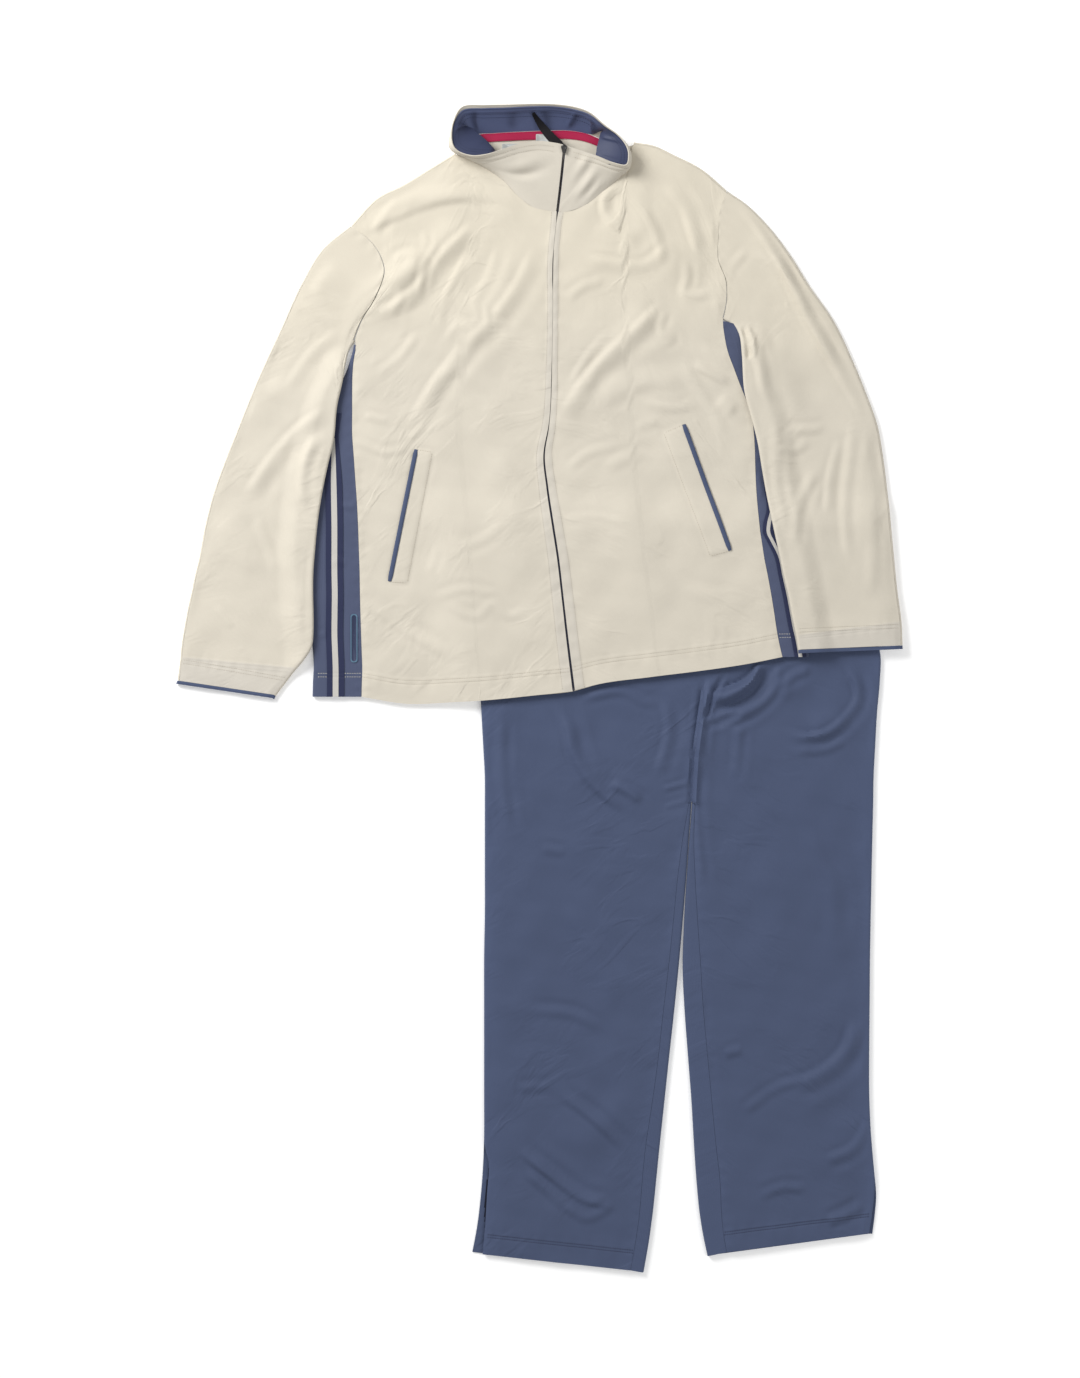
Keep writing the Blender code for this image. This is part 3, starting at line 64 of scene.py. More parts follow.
NECK_TAPE_WIDTH = 10.5
NECK_TAPE_DROP = 0.8  # from the collar seam to the neck tape
NECK_TAPE_SHARES = (0.17, 0.86)  # where it starts and ends along the back neck
CORNER_GAP = 1.5 * SEAM  # room where three pieces meet
NECK_GAP = 0.1  # from a front to the collar's lower edge
BACK_NECK_GAP = 0.6  # from the back to the collar, which leans over it
FOLD_END = 0.3  # share of a fold's length over which it rises
BODY_EDGE = 22.0  # flat margin of the body at its sides
ABOVE_ARMPIT = 260.0  # half the body's width between the armholes, for that margin
SHOULDER_EDGE = 26.0  # and along the shoulders and neck
SLEEVE_EDGE = 20.0  # flat margin along a sleeve's two folds
LEG_MARGIN = 18.0  # flat margin along a leg's edges
HEM_CLEARANCE = (18.0, 30.0)  # the trousers' folds start below the jacket's hem, and grow
SLIT_SHARE = 0.8  # part of a slit's depth by which the front stands back
SLIT_SAG = 2.6  # how far a leg's front sinks at its open slit
SLIT_REACH = 60.0  # and how far into the leg that goes
FLAP_STEP = 1.2  # step of the front's flap at the slit
FLAP_DROP = 0.2
PANEL_BACK_STEP = 0.6  # narrowest run of a side panel's back, and the back's distance from it
BACK_STEP = 1.5
RAY_HEIGHT = 0.2  # above everything, in metres
LAYOUT_CENTRE = (-1.35, -0.75)  # middle of the whole layout's box, in the tables' x and y

# Rows of the collar's table that lie on each front, from the shoulder to the zip
COLLAR_ON_RIGHT = (6, 5, 4, 3, 2, 1, 0)
COLLAR_ON_LEFT = (21, 22, 23, 24, 25, 26)


def rows_of(kind, values):
    """Named rows from plain ones."""
    return [kind(*row) for row in values]


Spot = namedtuple("Spot", "x y")
Section = namedtuple("Section", "outer_x outer_y inner_x inner_y")
SideRow = namedtuple("SideRow", "y seam fold tape_in tape_out")
LegRow = namedtuple("LegRow", "outer_x outer_y inner_x inner_y inseam slit")
CollarRow = namedtuple("CollarRow", "seam_x seam_y seam_z top_x top_y top_z roll")
StrapRow = namedtuple("StrapRow", "x y z width")
Fold = namedtuple("Fold", "group x0 y0 x1 y1 bend width height")

# Jacket outline. The shoulder lines run from the sleeve to the collar.
SHOULDER_RIGHT = rows_of(Spot, (
    (-242, 595), (-208, 630), (-176, 646), (-140, 668), (-109, 687),
))
SHOULDER_LEFT = rows_of(Spot, (
    (239, 639), (206, 667), (171, 685), (145, 697), (120, 701),
))
BACK_NECK = rows_of(Spot, (
    (-106, 686.5), (-98, 702.5), (-80, 711.5), (-60, 713.3), (-38, 714.6), (-10, 715.8), (16, 716.8),
    (38, 716.6), (58, 713.3), (76, 706.3), (94, 697.3), (105, 689.5),
))
ARMHOLE_RIGHT = rows_of(Spot, (
    (-242, 592), (-220, 577), (-206, 559), (-199, 538), (-208, 506), (-228, 472), (-237, 449),
))
ARMHOLE_LEFT = rows_of(Spot, (
    (239, 636), (231, 616), (228, 581), (228, 549), (237, 525), (238, 498), (234, 477),
))
HEM_RIGHT = rows_of(Spot, (
    (-229, -10), (-170, -19), (-113, -17), (-77, -15), (-5, -8), (42, -3),
))
HEM_LEFT = rows_of(Spot, (
    (310, 41), (265, 32), (211, 24), (139, 15), (74, 6), (44, -2),
))
ZIP_LINE = rows_of(Spot, (
    (22, 611), (17, 561), (16, 480), (15, 422), (11, 337), (5, 300), (9, 259), (17, 205), (22, 173),
    (29, 114), (34, 70), (43, -3),
))

# Side panels: x of the front seam and of the side fold, and how far from the seam the stripes lie
SIDE_RIGHT = rows_of(SideRow, (
    (434, -236.6, -240.2, 0.2, 0.4), (424, -238.6, -243.0, 0.4, 0.8), (405, -240.5, -249.5, 2, 4),
    (382, -241, -262, 6, 12), (355, -241, -271, 18.8, 21), (326, -241, -279, 17.8, 30),
    (298, -239, -286, 17.7, 33.5), (269, -237, -291, 17.2, 37.8), (240, -235, -296, 18, 40),
    (210, -233.5, -300, 19, 41), (180, -232.5, -302, 20, 42), (150, -231.5, -301, 21, 43),
    (120, -231, -299, 21, 43), (95, -230.3, -297, 22, 44), (70, -229.5, -294, 23, 45),
    (48, -228.7, -291.5, 23, 45), (28, -228, -290.5, 23, 45), (8, -228.5, -291.5, 22.5, 44.5),
    (-10, -229, -292, 22, 44),
))
SIDE_LEFT = rows_of(SideRow, (
    (464, 234.6, 258, 2, 4), (452, 236.3, 262, 4, 8), (434, 240, 265, 5, 10), (412, 248, 269, 6, 12),
    (388, 257, 272, 4, 8), (364, 266.5, 279, 3, 6), (340, 272.5, 286, 3.5, 7), (312, 275, 291.5, 4.5, 9),
    (284, 275.8, 297, 8, 17), (256, 277, 304, 10, 22), (228, 279, 309, 10.5, 24), (212, 280.5, 312, 5, 19),
    (200, 281.8, 314, 3.2, 17), (188, 283.6, 316.5, 7, 21), (172, 286, 320, 12.6, 27),
    (144, 291.5, 326, 13.5, 28), (118, 296.2, 330, 14.3, 29.5), (94, 300, 335, 14.8, 30.5),
    (74, 303, 339, 15.8, 31), (56, 306.5, 342, 17.5, 32), (41, 310, 344, 19.5, 32),
))
STRIPE_START = 4  # the stripes come out from under the sleeve at this row

# Sleeves, from the armhole to the cuff
SLEEVE_RIGHT = rows_of(Section, (
    (-242, 595, -237.5, 446), (-279, 564, -246, 430), (-306, 520, -252.5, 395), (-333, 461, -260, 360),
    (-360, 402, -263.5, 322), (-391, 326, -273, 280), (-406, 288, -279, 250), (-419, 251, -284, 218),
    (-430, 208, -288, 178), (-438, 165, -290.5, 140), (-443, 145, -290.5, 118), (-447, 125, -290, 99),
    (-452, 103, -290, 76), (-456, 81, -292, 55), (-460, 56, -303, 36), (-462, 35, -317, 20),
    (-464, 20, -330, 3), (-465, 11, -339, -9),
))
SLEEVE_LEFT = rows_of(Section, (
    (239, 639, 234, 474), (265, 621, 246, 467), (292, 594, 254.5, 455), (319, 559, 258, 428),
    (346, 516, 261, 383), (374, 476, 270, 348), (403, 416, 279, 311), (418, 379, 284, 280),
    (432, 340, 290, 246), (440, 296, 298, 206), (446, 246, 306, 170), (450, 204, 311, 145),
    (454, 163, 317, 119), (458, 124, 322, 92), (463, 84, 327, 67), (464, 56, 329.5, 50),
))
BULGE_FADE = 4  # the armhole's curve dies away over this many sections

# Trouser legs, from the waistband to the hem. Above the crotch the inner end is the centre seam.
# inseam is how far the seam lies on the front, slit how far the front edge stands back.
CROTCH_ROW = 7
CENTRE_SEAM = 205.0  # where both fronts read the folds that cross the centre seam
LEG_RIGHT = rows_of(LegRow, (
    (-86.5, 132, 218.2, 132, 0, 0), (-82, 88, 216, 88, 0, 0), (-80, 46, 213.5, 46, 0, 0),
    (-77.5, 10, 210.5, 10, 0, 0), (-75.5, -30, 205, -30, 0, 0), (-73, -75, 198.5, -75, 0, 0),
    (-71, -115, 195.5, -115, 0, 0), (-71, -147, 194, -147, 1, 0), (-71, -188, 190.6, -193, 5, 0),
    (-71, -235, 187.2, -242, 8, 0), (-71, -285, 183, -294, 9, 0), (-72, -345, 177.6, -356, 10, 0),
    (-72, -405, 171.3, -418, 11, 0), (-72, -465, 164.5, -480, 11, 0), (-72, -525, 157.8, -543, 13, 0),
    (-72, -570, 152.8, -590, 15, 0), (-73, -606, 149, -628, 15, 8), (-76, -648, 144.4, -672, 14, 9),
    (-81, -690, 138.5, -714, 14, 12), (-87, -722, 132.5, -748, 14, 16),
))
LEG_LEFT = rows_of(LegRow, (
    (405, 132, 218.8, 132, 0, 0), (421, 88, 216.6, 88, 0, 0), (436, 46, 214.1, 46, 0, 0),
    (435.5, 10, 211.1, 10, 0, 0), (432, -30, 205.6, -30, 0, 0), (429.5, -75, 199.1, -75, 0, 0),
    (427.5, -115, 196.1, -115, 0, 0), (427, -147, 194.6, -147, 1, 0), (426, -188, 190.9, -193, 3, 0),
    (425, -235, 187.6, -242, 8, 0), (424, -285, 184.6, -294, 14, 0), (423, -340, 182.5, -352, 20, 0),
    (422.5, -400, 184.8, -408, 21, 0), (422, -460, 189.2, -468, 22, 0), (422, -520, 193.8, -528, 23, 0),
    (424, -568, 197, -583, 25, 0), (428, -615, 200.6, -634, 27, 0), (431, -650, 204.6, -674, 25, 3),
    (429, -676, 209.4, -703, 23, 4), (426, -699, 214.5, -727, 22, 5),
))
WAIST = LEG_RIGHT[0].outer_y
WAIST_TOP = WAIST + WAISTBAND_HEIGHT

# Collar, a row for each place round the neck from the right front edge to the left front edge
COLLAR = rows_of(CollarRow, (
    (20.4, 612.4, 6, 29.6, 695.5, 19, 1), (8, 613.5, 6, 18, 698, 19, 1), (-10, 618, 6, -3, 700, 20, 2),
    (-28, 631.5, 6, -27, 696, 22, 2), (-48, 652, 6, -50, 688, 24, 3), (-70, 667, 6, -69, 681.5, 26, 4),
    (-90, 678.5, 6, -88, 679.5, 28, 5), (-107, 688, 4.5, -106, 686, 29, 6),
    (-109.5, 695, 2.5, -113, 700, 29, 6), (-99, 704.5, 1, -111, 724, 28, 5), (-80, 713, 0.3, -99, 743, 27, 5),
    (-60, 714.5, 0.2, -70, 745, 27, 5), (-38, 715.8, 0.2, -42, 745.5, 27, 5),
    (-10, 717, 0.2, -10, 746.5, 27, 5), (16, 718, 0.2, 18, 746, 27, 5), (38, 717.8, 0.2, 44, 742.5, 27, 5),
    (58, 714.5, 0.2, 64, 735, 28, 5), (76, 707.5, 0.3, 83, 719, 28, 5), (94, 698.5, 1.4, 98, 708, 28, 5),
    (107, 691, 3, 109, 695, 28, 5), (112, 679, 4.5, 113, 682, 28, 5), (109, 664, 6, 109.5, 668, 27, 5),
    (97, 651, 6, 92, 671.5, 25, 4), (80, 637.5, 6, 71, 681, 22, 3), (58, 620.5, 6, 56, 686.5, 20, 2),
    (36, 612, 6, 43, 691, 19, 1), (23.6, 611.5, 6, 32.8, 694.5, 19, 1),
))
LINING_SHARE = 0.76  # part of the last step that the lining covers
NECK_MIDDLE = (0.0, 690.0)

# Pocket piping, upper and lower end
WELT_RIGHT = (Spot(-159, 307), Spot(-193, 138))
WELT_LEFT = (Spot(184, 339), Spot(243, 177))

# Labels inside the neck and the patch at the side, as centre, width and length
NECK_LABEL = (Spot(-28, 689.5), 42.0, 20.0)
SIZE_LABEL = (Spot(3, 705.5), 17.0, 12.0)
SIDE_BADGE = (Spot(-238.5, 65), 9.0, 62.0)

# Strap of the zip puller, from the slider over the collar's edge into the neck and up its back
STRAP = rows_of(StrapRow, (
    (31, 689, 13.2, 10), (24, 696, 13.4, 14), (14, 706, 11.5, 14), (4, 718, 9.5, 12), (-4, 728.5, 13.5, 8),
    (-9, 735.5, 20.5, 5),
))


# Zip slider: its middle, half widths along it, its plates' undersides and tops, and its bars' y and z
SLIDER_MIDDLE = (30.5, 689.5, 18.7)
SLIDER_OUTLINE = ((3.6, 4.6), (3.9, 2.6), (3.5, 0.6), (2.7, -1.4), (2.4, -3.6), (2.0, -4.8))
SLIDER_PLATES = ((0.0, 0.9), (1.7, 2.5))
SLIDER_BRIDGE = ((3.4, 2.3), (3.2, 3.2), (1.6, 3.6), (-1.4, 3.6), (-3.0, 3.2), (-3.2, 2.3))
SLIDER_CORE = ((-4.0, 1.2), (0, 1.3), (3.4, 1.2))

# Largest folds of the cloth: a ridge where height is above zero, a trough below
FOLDS = rows_of(Fold, (
    ('jacket', -205, 612, -70, 632, 14, 16, 3.5), ('jacket', -82, 606, -228, 470, -8, 20, 4.5),
    ('jacket', -22, 528, -118, 440, 6, 22, 3.5), ('jacket', -150, 560, -200, 515, 5, 14, 4.0),
    ('jacket', 120, 650, 196, 520, -14, 16, 4.5), ('jacket', 82, 610, 132, 570, 5, 16, 3.0),
    ('jacket', 150, 488, 76, 410, 0, 18, 4.0), ('jacket', 66, 400, 20, 350, 4, 18, 3.0),
    ('jacket', 215, 590, 206, 500, 6, 13, -1.6), ('jacket', -60, 330, -40, 120, 10, 30, 2.5),
    ('jacket', 100, 270, 150, 90, -8, 28, 2.5), ('jacket', 226, 372, 250, 352, 3, 12, 2.5),
    ('sleeve_right', -300, 500, -250, 545, 5, 18, 3.0), ('sleeve_right', -350, 400, -290, 330, 8, 20, 3.5),
    ('sleeve_right', -400, 250, -350, 130, -6, 24, 2.5), ('sleeve_left', 262, 600, 380, 400, 10, 15, 4.5),
    ('sleeve_left', 300, 460, 340, 330, -8, 18, 3.5), ('sleeve_left', 400, 360, 420, 160, 10, 20, 3.0),
    ('sleeve_left', 340, 290, 370, 130, -5, 20, 2.5), ('trousers', 292, 10, 225, -35, -12, 15, 4.5),
    ('trousers', 303, -12, 350, 12, 5, 13, 3.0), ('trousers', 400, -38, 345, -62, -8, 15, 3.0),
    ('trousers', 14, -32, 92, -150, 6, 22, 3.0), ('trousers', 212, 0, 196, -130, 4, 11, 3.5),
    ('trousers', 86, -122, 130, -147, 4, 14, 2.5), ('trousers', 130, -500, 30, -590, 8, 22, 2.5),
    ('trousers', 385, -540, 400, -620, 6, 20, 2.5), ('trousers', 300, -180, 270, -420, 14, 30, 2.5),
    ('trousers', -20, -200, 20, -420, -12, 30, 2.0),
))


# Creases as height, width, how much steeper one side is, and the places that they pass through
Crease = namedtuple("Crease", "group height width steep spots")
CREASE_ROWS = (
    ("jacket", (
        (2.0, 7.9, 0.4, ((-237, 581), (-178, 609), (-122, 627), (-60, 628), (-21, 617))),
        (1.2, 5.3, 0, ((-191, 544), (-172, 557), (-149, 550), (-146, 536))),
        (0.9, 4.6, 0, ((-149, 586), (-146, 567))),
        (2.2, 7.9, 0.3, ((-73, 605), (-126, 554), (-162, 508), (-227, 468))),
        (2.2, 7.9, 0.3, ((-2, 576), (-27, 521), (-60, 475), (-105, 430), (-145, 374), (-172, 325))),
        (1.1, 5.3, 0, ((-174, 511), (-191, 479))),
        (1.2, 5.3, 0, ((-234, 492), (-220, 486), (-205, 490))),
        (2.0, 5.9, 0.3, ((100, 652), (82, 632), (83, 609), (106, 586), (126, 573))),
        (1.8, 6.6, -0.3, ((57, 554), (106, 544), (133, 544), (158, 563), (169, 573))),
        (2.0, 6.6, 0.3, ((158, 645), (182, 620), (194, 586), (205, 554))),
        (1.7, 5.3, 0, ((185, 554), (188, 527), (185, 508), (198, 504), (221, 508))),
        (2.5, 7.9, 0.4, ((165, 502), (123, 462), (74, 416), (46, 380), (25, 344))),
        (1.2, 4.6, 0, ((162, 488), (156, 456), (169, 449), (152, 439))),
        (1.8, 10.6, 0.2, ((74, 357), (100, 380), (148, 394), (188, 384))),
        (0.9, 5.3, 0, ((153, 344), (123, 335))),
        (1.7, 5.9, 0.3, ((194, 416), (243, 390))),
        (1.4, 6.6, 0, ((182, 422), (215, 365), (240, 325))),
        (1.1, 4.6, 0, ((221, 498), (238, 475))),
        (0.9, 5.9, 0, ((-44, 211), (-80, 188), (-108, 179))),
        (1.0, 5.3, 0, ((-121, 109), (-80, 93), (-60, 109), (-41, 93), (-12, 106))),
        (1.1, 6.6, 0.2, ((-226, 115), (-187, 83), (-155, 64), (-108, 36))),
        (0.8, 4.6, 0, ((-130, 182), (-142, 147))),
        (1.0, 4.6, 0, ((-146, 338), (-168, 319))),
        (1.0, 4.6, 0, ((-226, 351), (-194, 342))),
        (1.2, 5.3, 0.2, ((-177, 631), (-200, 608), (-215, 580))),
        (1.0, 4.6, 0, ((-128, 575), (-149, 539), (-156, 498))),
        (0.9, 4.6, 0.2, ((-90, 562), (-118, 511), (-133, 460))),
        (1.1, 5.3, 0.2, ((-51, 575), (-69, 524), (-100, 477), (-133, 431))),
        (1.0, 5.3, 0, ((-215, 396), (-179, 426), (-154, 460))),
        (0.9, 4.6, 0, ((-236, 319), (-200, 303), (-164, 311))),
        (0.9, 5.3, 0, ((33, 498), (56, 516), (84, 524))),
        (1.2, 5.3, 0.2, ((128, 618), (148, 580), (156, 539))),
        (1.0, 5.3, 0.2, ((89, 460), (64, 431), (38, 388))),
        (1.0, 5.3, 0, ((128, 370), (164, 360), (205, 365))),
        (0.9, 5.3, 0, ((33, 280), (64, 303), (105, 314))),
        (0.8, 4.6, 0, ((25, 216), (71, 221), (115, 211))),
        (0.8, 5.3, 0, ((-141, 114), (-100, 127), (-51, 119))),
        (0.9, 6.6, 0, ((77, 280), (128, 300), (169, 291))),
        (0.8, 7.9, 0, ((128, 165), (192, 127), (249, 114))),
        (0.9, 6.6, 0, ((-77, 460), (-100, 421), (-128, 396))),
    )),
    ("sleeve_right", (
        (2.2, 7.9, 0.3, ((-266, 361), (-302, 338), (-341, 297), (-378, 243))),
        (1.7, 5.9, 0.2, ((-283, 329), (-296, 306), (-305, 250), (-296, 227))),
        (1.2, 5.9, 0, ((-365, 224), (-354, 198), (-334, 147))),
        (1.0, 5.3, 0, ((-416, 106), (-394, 77))),
        (1.2, 6.6, 0.2, ((-256, 460), (-292, 431), (-327, 380))),
        (0.9, 6.6, 0, ((-307, 498), (-279, 475), (-250, 470))),
    )),
    ("sleeve_left", (
        (-3.8, 4.0, 0, ((258, 465), (266, 444), (266, 419))),
    )),
    ("sleeve_right", (
        (-0.7, 2.0, 0, ((-296, 192), (-300, 128), (-302, 56))),
    )),
    ("sleeve_left", (
        (2.5, 5.9, 0.4, ((237, 636), (267, 604), (302, 552), (336, 479), (371, 422), (402, 370), (418, 340))),
        (1.7, 5.9, 0.2, ((258, 557), (293, 548), (327, 509), (345, 466), (393, 401))),
        (1.4, 5.3, 0, ((235, 504), (244, 539), (267, 564))),
        (1.8, 5.9, 0.3, ((258, 466), (280, 410), (285, 384), (298, 362))),
        (1.2, 5.3, 0, ((311, 332), (342, 332), (367, 334))),
        (1.2, 5.3, 0, ((302, 310), (327, 306), (345, 319))),
        (1.7, 5.9, 0.3, ((384, 323), (371, 271), (367, 219))),
        (1.5, 5.9, 0.2, ((402, 349), (393, 284), (389, 219), (397, 155))),
        (1.4, 5.9, 0, ((354, 284), (327, 219), (324, 175))),
        (1.4, 5.9, 0, ((302, 349), (302, 262), (320, 184))),
        (0.9, 6.6, 0, ((420, 242), (425, 165), (422, 114))),
    )),
    ("trousers", (
        (-3.9, 3.4, 0, ((210, 17), (201, -45), (194, -134), (193, -196))),
        (3.4, 4.8, 0, ((220, 17), (210, -27), (203, -91))),
        (-3.4, 3.4, 0, ((237, 22), (220, -12), (210, -42))),
        (6.9, 7.5, 0.4, ((286, 44), (269, 10), (244, -3), (212, -10))),
        (-6.3, 5.4, 0, ((292, 32), (278, 5), (257, -13), (220, -26))),
        (4.1, 5.4, 0.2, ((307, 32), (292, -6), (266, -27), (233, -40))),
        (-3.4, 4.8, 0, ((210, -50), (233, -42), (261, -29))),
        (2.3, 5.4, 0, ((303, 1), (325, 17), (349, 27))),
        (3.4, 5.4, 0.3, ((389, 32), (404, 9), (407, -9), (389, -38), (365, -56), (329, -59), (311, -49))),
        (1.8, 5.4, 0, ((329, -76), (365, -76), (393, -63))),
        (3.2, 6.8, 0.3, ((16, -15), (34, -49), (41, -81), (59, -113), (84, -138), (112, -160))),
        (1.8, 5.4, 0, ((84, -120), (112, -131), (134, -146))),
        (1.6, 3.4, 0, ((156, -129), (192, -119))),
        (1.4, 3.4, 0, ((158, -152), (189, -143))),
        (2.3, 6.1, 0.3, ((156, -9), (164, -45), (148, -116))),
        (2.1, 5.4, 0, ((48, -13), (112, -5), (134, -17), (156, -19))),
        (1.6, 5.4, 0, ((256, -45), (249, -116))),
        (1.8, 5.4, 0, ((206, -65), (199, -129), (201, -188), (210, -260))),
        (1.6, 6.1, 0, ((-49, -23), (-49, -110), (-39, -188))),
        (1.1, 5.4, 0, ((1, -204), (34, -210))),
        (1.4, 5.4, 0, ((-31, -512), (16, -508))),
        (2.2, 6.1, 0.2, ((19, -515), (70, -552), (112, -594))),
        (2.5, 6.1, 0.3, ((-31, -588), (16, -626), (59, -655), (98, -663))),
        (1.8, 5.4, 0, ((-21, -616), (48, -677))),
        (1.6, 5.4, 0, ((34, -659), (55, -677), (98, -659))),
        (1.4, 6.1, 0, ((-21, -411), (48, -419), (84, -440))),
        (4.1, 8.2, 0.3, ((404, -422), (393, -461), (357, -494), (321, -508))),
        (1.6, 5.4, 0, ((235, -468), (260, -461))),
        (2.5, 6.1, 0.2, ((425, -549), (400, -588), (361, -605))),
        (1.8, 5.4, 0, ((278, -652), (313, -639), (343, -641))),
        (2.2, 6.1, 0, ((365, -684), (400, -669), (417, -658))),
        (1.8, 5.4, 0, ((257, -544), (311, -508), (339, -500))),
        (1.4, 9.5, 0, ((25, -270), (77, -347), (102, -411))),
        (1.4, 9.5, 0, ((333, -168), (371, -244), (377, -334))),
    )),
    ("side_right", (
        (1.0, 4.0, 0, ((-255, 237), (-245, 234), (-234, 238))),
        (0.9, 4.0, 0, ((-286, 70), (-273, 70))),
        (0.8, 5.3, 0, ((-269, 165), (-246, 161))),
    )),
    ("side_left", (
        (0.9, 4.0, 0, ((278, 280), (284, 242))),
    )),
)
CREASES = [Crease(group, *row) for group, rows in CREASE_ROWS for row in rows]

# Grid steps of the shown cloth
STEP = 3.0
EDGE_STEP = 1.5  # near hems, cuffs and the zip
EDGE_REACH = 34.0  # of those close rows
ZIP_REACH = 18.0  # of the close columns beside the zip
ARM_COUNT = 50  # places along an armhole
CURL_COUNT = 6  # places round the curl from one layer to the other
CURL_STEPS = 2  # of the solids' curls
TUBE_COUNT = 8  # places round a folded edge
COLLAR_COUNT = 230  # places round the collar
COLLAR_ROWS = 34  # and up its height
COLLAR_STEPS = 4  # of the solid collar
SHIFT = np.array((-LAYOUT_CENTRE[0], -LAYOUT_CENTRE[1], 0.0))  # from the tables to the part's frame

# Width of the dark gap between the zip's two edges
GapRow = namedtuple("GapRow", "y gap")
ZIP_GAPS = rows_of(GapRow, (
    (-5, 3.2), (100, 2.6), (230, 2.7), (290, 2.2), (325, 1.5), (345, 0.6), (395, 0.8), (430, 0.3), (510, 0.3),
    (524, 1.1), (552, 1.1), (564, 0.3), (598, 0.3), (604, 1.1), (611, 2.0),
))

# Slow waves of the cloth: direction in degrees, length, height and start
Wave = namedtuple("Wave", "angle length height start")
WAVES = rows_of(Wave, (
    (12, 74, 0.3, 0.4), (57, 51, 0.22, 1.9), (101, 92, 0.34, 3.1), (148, 43, 0.18, 5.0), (79, 31, 0.12, 2.2),
    (25, 122, 0.36, 4.4), (127, 63, 0.22, 0.9),
))

# Stitched frames of the pockets, from the piping's upper end round to its lower end
POCKET_RIGHT = (Spot(-159, 307), Spot(-138.5, 303.5), Spot(-170.5, 136), Spot(-192, 137))
POCKET_LEFT = (Spot(184, 339), Spot(158.5, 328), Spot(217.5, 170), Spot(243, 177))

# Where the slack lining lies at the collar's two sides, by place round the collar
Foot = namedtuple("Foot", "place x y z")
LINING_FEET = rows_of(Foot, (
    (3.5, -52, 684, 15), (5, -61, 692, 14), (6, -70, 702, 12), (7, -79, 710, 10), (8, -87, 717, 8.5),
    (9, -93, 724, 7), (10, -92, 730, 6), (16, 76, 722, 6), (17, 79, 716, 7), (18, 77, 708, 9),
    (19, 75, 700, 10.5), (20, 73, 693, 12), (21, 72, 686, 13), (22, 70, 680, 14), (23, 62, 678, 15),
))
# The side panels reach up under the sleeves from the first row of their tables
SIDE_TOPS = {-1: SideRow(441, -236.4, -239.0, 0.2, 0.4), 1: SideRow(471, 234.0, 239.4, 1, 2)}
# Places round the collar where the lining starts to lean, leans fully, and the same backwards
SLACK_RIGHT = (3.6, 5.0, 8.6, 10.2)
SLACK_LEFT = (16.0, 17.2, 21.6, 22.8)
SLACK_BULGE = 3.0  # rise of the slack lining between its foot and its rim
LINING_CLEARANCE = 3.5  # how far the lining keeps off the collar where it starts to lean
RIM_SHARE = 0.055  # of the collar's height, cream inside above the lining
WRINKLE_SLANT = 0.9  # radians from the cloth's length
SLIT_PART = 0.12  # share of a leg's width under which its slit lies
SLIT_CELLS = 20  # cells across that share
SLIT_SHADOW_WIDTH = 3.0  # widest painted shadow beside the front's edge
RIB_TURN = math.pi / 10  # the wave texture repeats after this much at a scale of 1
SHOWN_SEAM = -0.3  # sewn pieces of one colour lap by this much
LAYERS = ((FOLD_RADIUS, 0.0), (FOLD_RADIUS - CLOTH, CLOTH))  # a fold's radius and depth, outside and inside
LEAST_HEIGHT = 2.6 * CLOTH  # the upper layer of a sleeve or leg keeps above this
CREASE_REACH = 4.5  # how far a crease reaches, in its own widths
CREASE_END = 0.22  # share of a crease's length over which it rises
FAR = 1e9  # past every distance
NECK_STEP = 3.2  # places along the neck
BACK_COUNT = 34  # places along the back's shoulders and armholes
PANEL_SPANS = (10, 12, 8)  # cells of a side panel before, under and after its stripes
WHITE_STRIPE_TOP = 322.0  # where the right panel's white stripe comes out
BINDING_SHAPE = ((0, -0.3), (0.12, 0.15), (0.5, 0.3), (0.88, 0.15), (1, -0.3))  # share of the width, lift
SLIT_HEM = 22.0  # closed hem under a leg's slit
TOOTH_PITCH = 2.1  # from one tooth of the zip to the next

# Distances of stitches from the edge beside them
HEM_STITCHES = (25.5, 30.0)
CUFF_STITCHES = (22.5, 27.0)
LEG_STITCHES = (22.5, 26.0)
LEG_GROOVES = (22.5, 25.5)
RIM_STITCHES = (5.0, 11.0)
LINING_STITCHES = (6.0, 10.0)

# Upright folds of the lining, by place round the collar
SatinFold = namedtuple("SatinFold", "place width depth lean")
SATIN_FOLDS = rows_of(SatinFold, (
    (6.4, 0.25, 1.3, 0.5), (8.9, 0.20, 1.8, -0.5), (10.3, 0.16, 1.4, 0.5), (12.2, 0.20, 0.7, 0.2),
    (13.6, 0.20, 1.0, -0.3), (15.0, 0.16, 1.5, 0.3), (16.3, 0.22, 1.6, -0.5), (18.4, 0.25, 1.2, 0.6),
    (20.6, 0.3, 1.2, -0.6),
))


def ease(value):
    """Goes smoothly from 0 to 1 as value does."""
    value = np.clip(value, 0.0, 1.0)
    return value * value * (3 - 2 * value)


def fall(distance, ramp):
    """1 up to the first distance of the ramp, 0 past the second."""
    return 1 - ease((distance - ramp[0]) / (ramp[1] - ramp[0]))


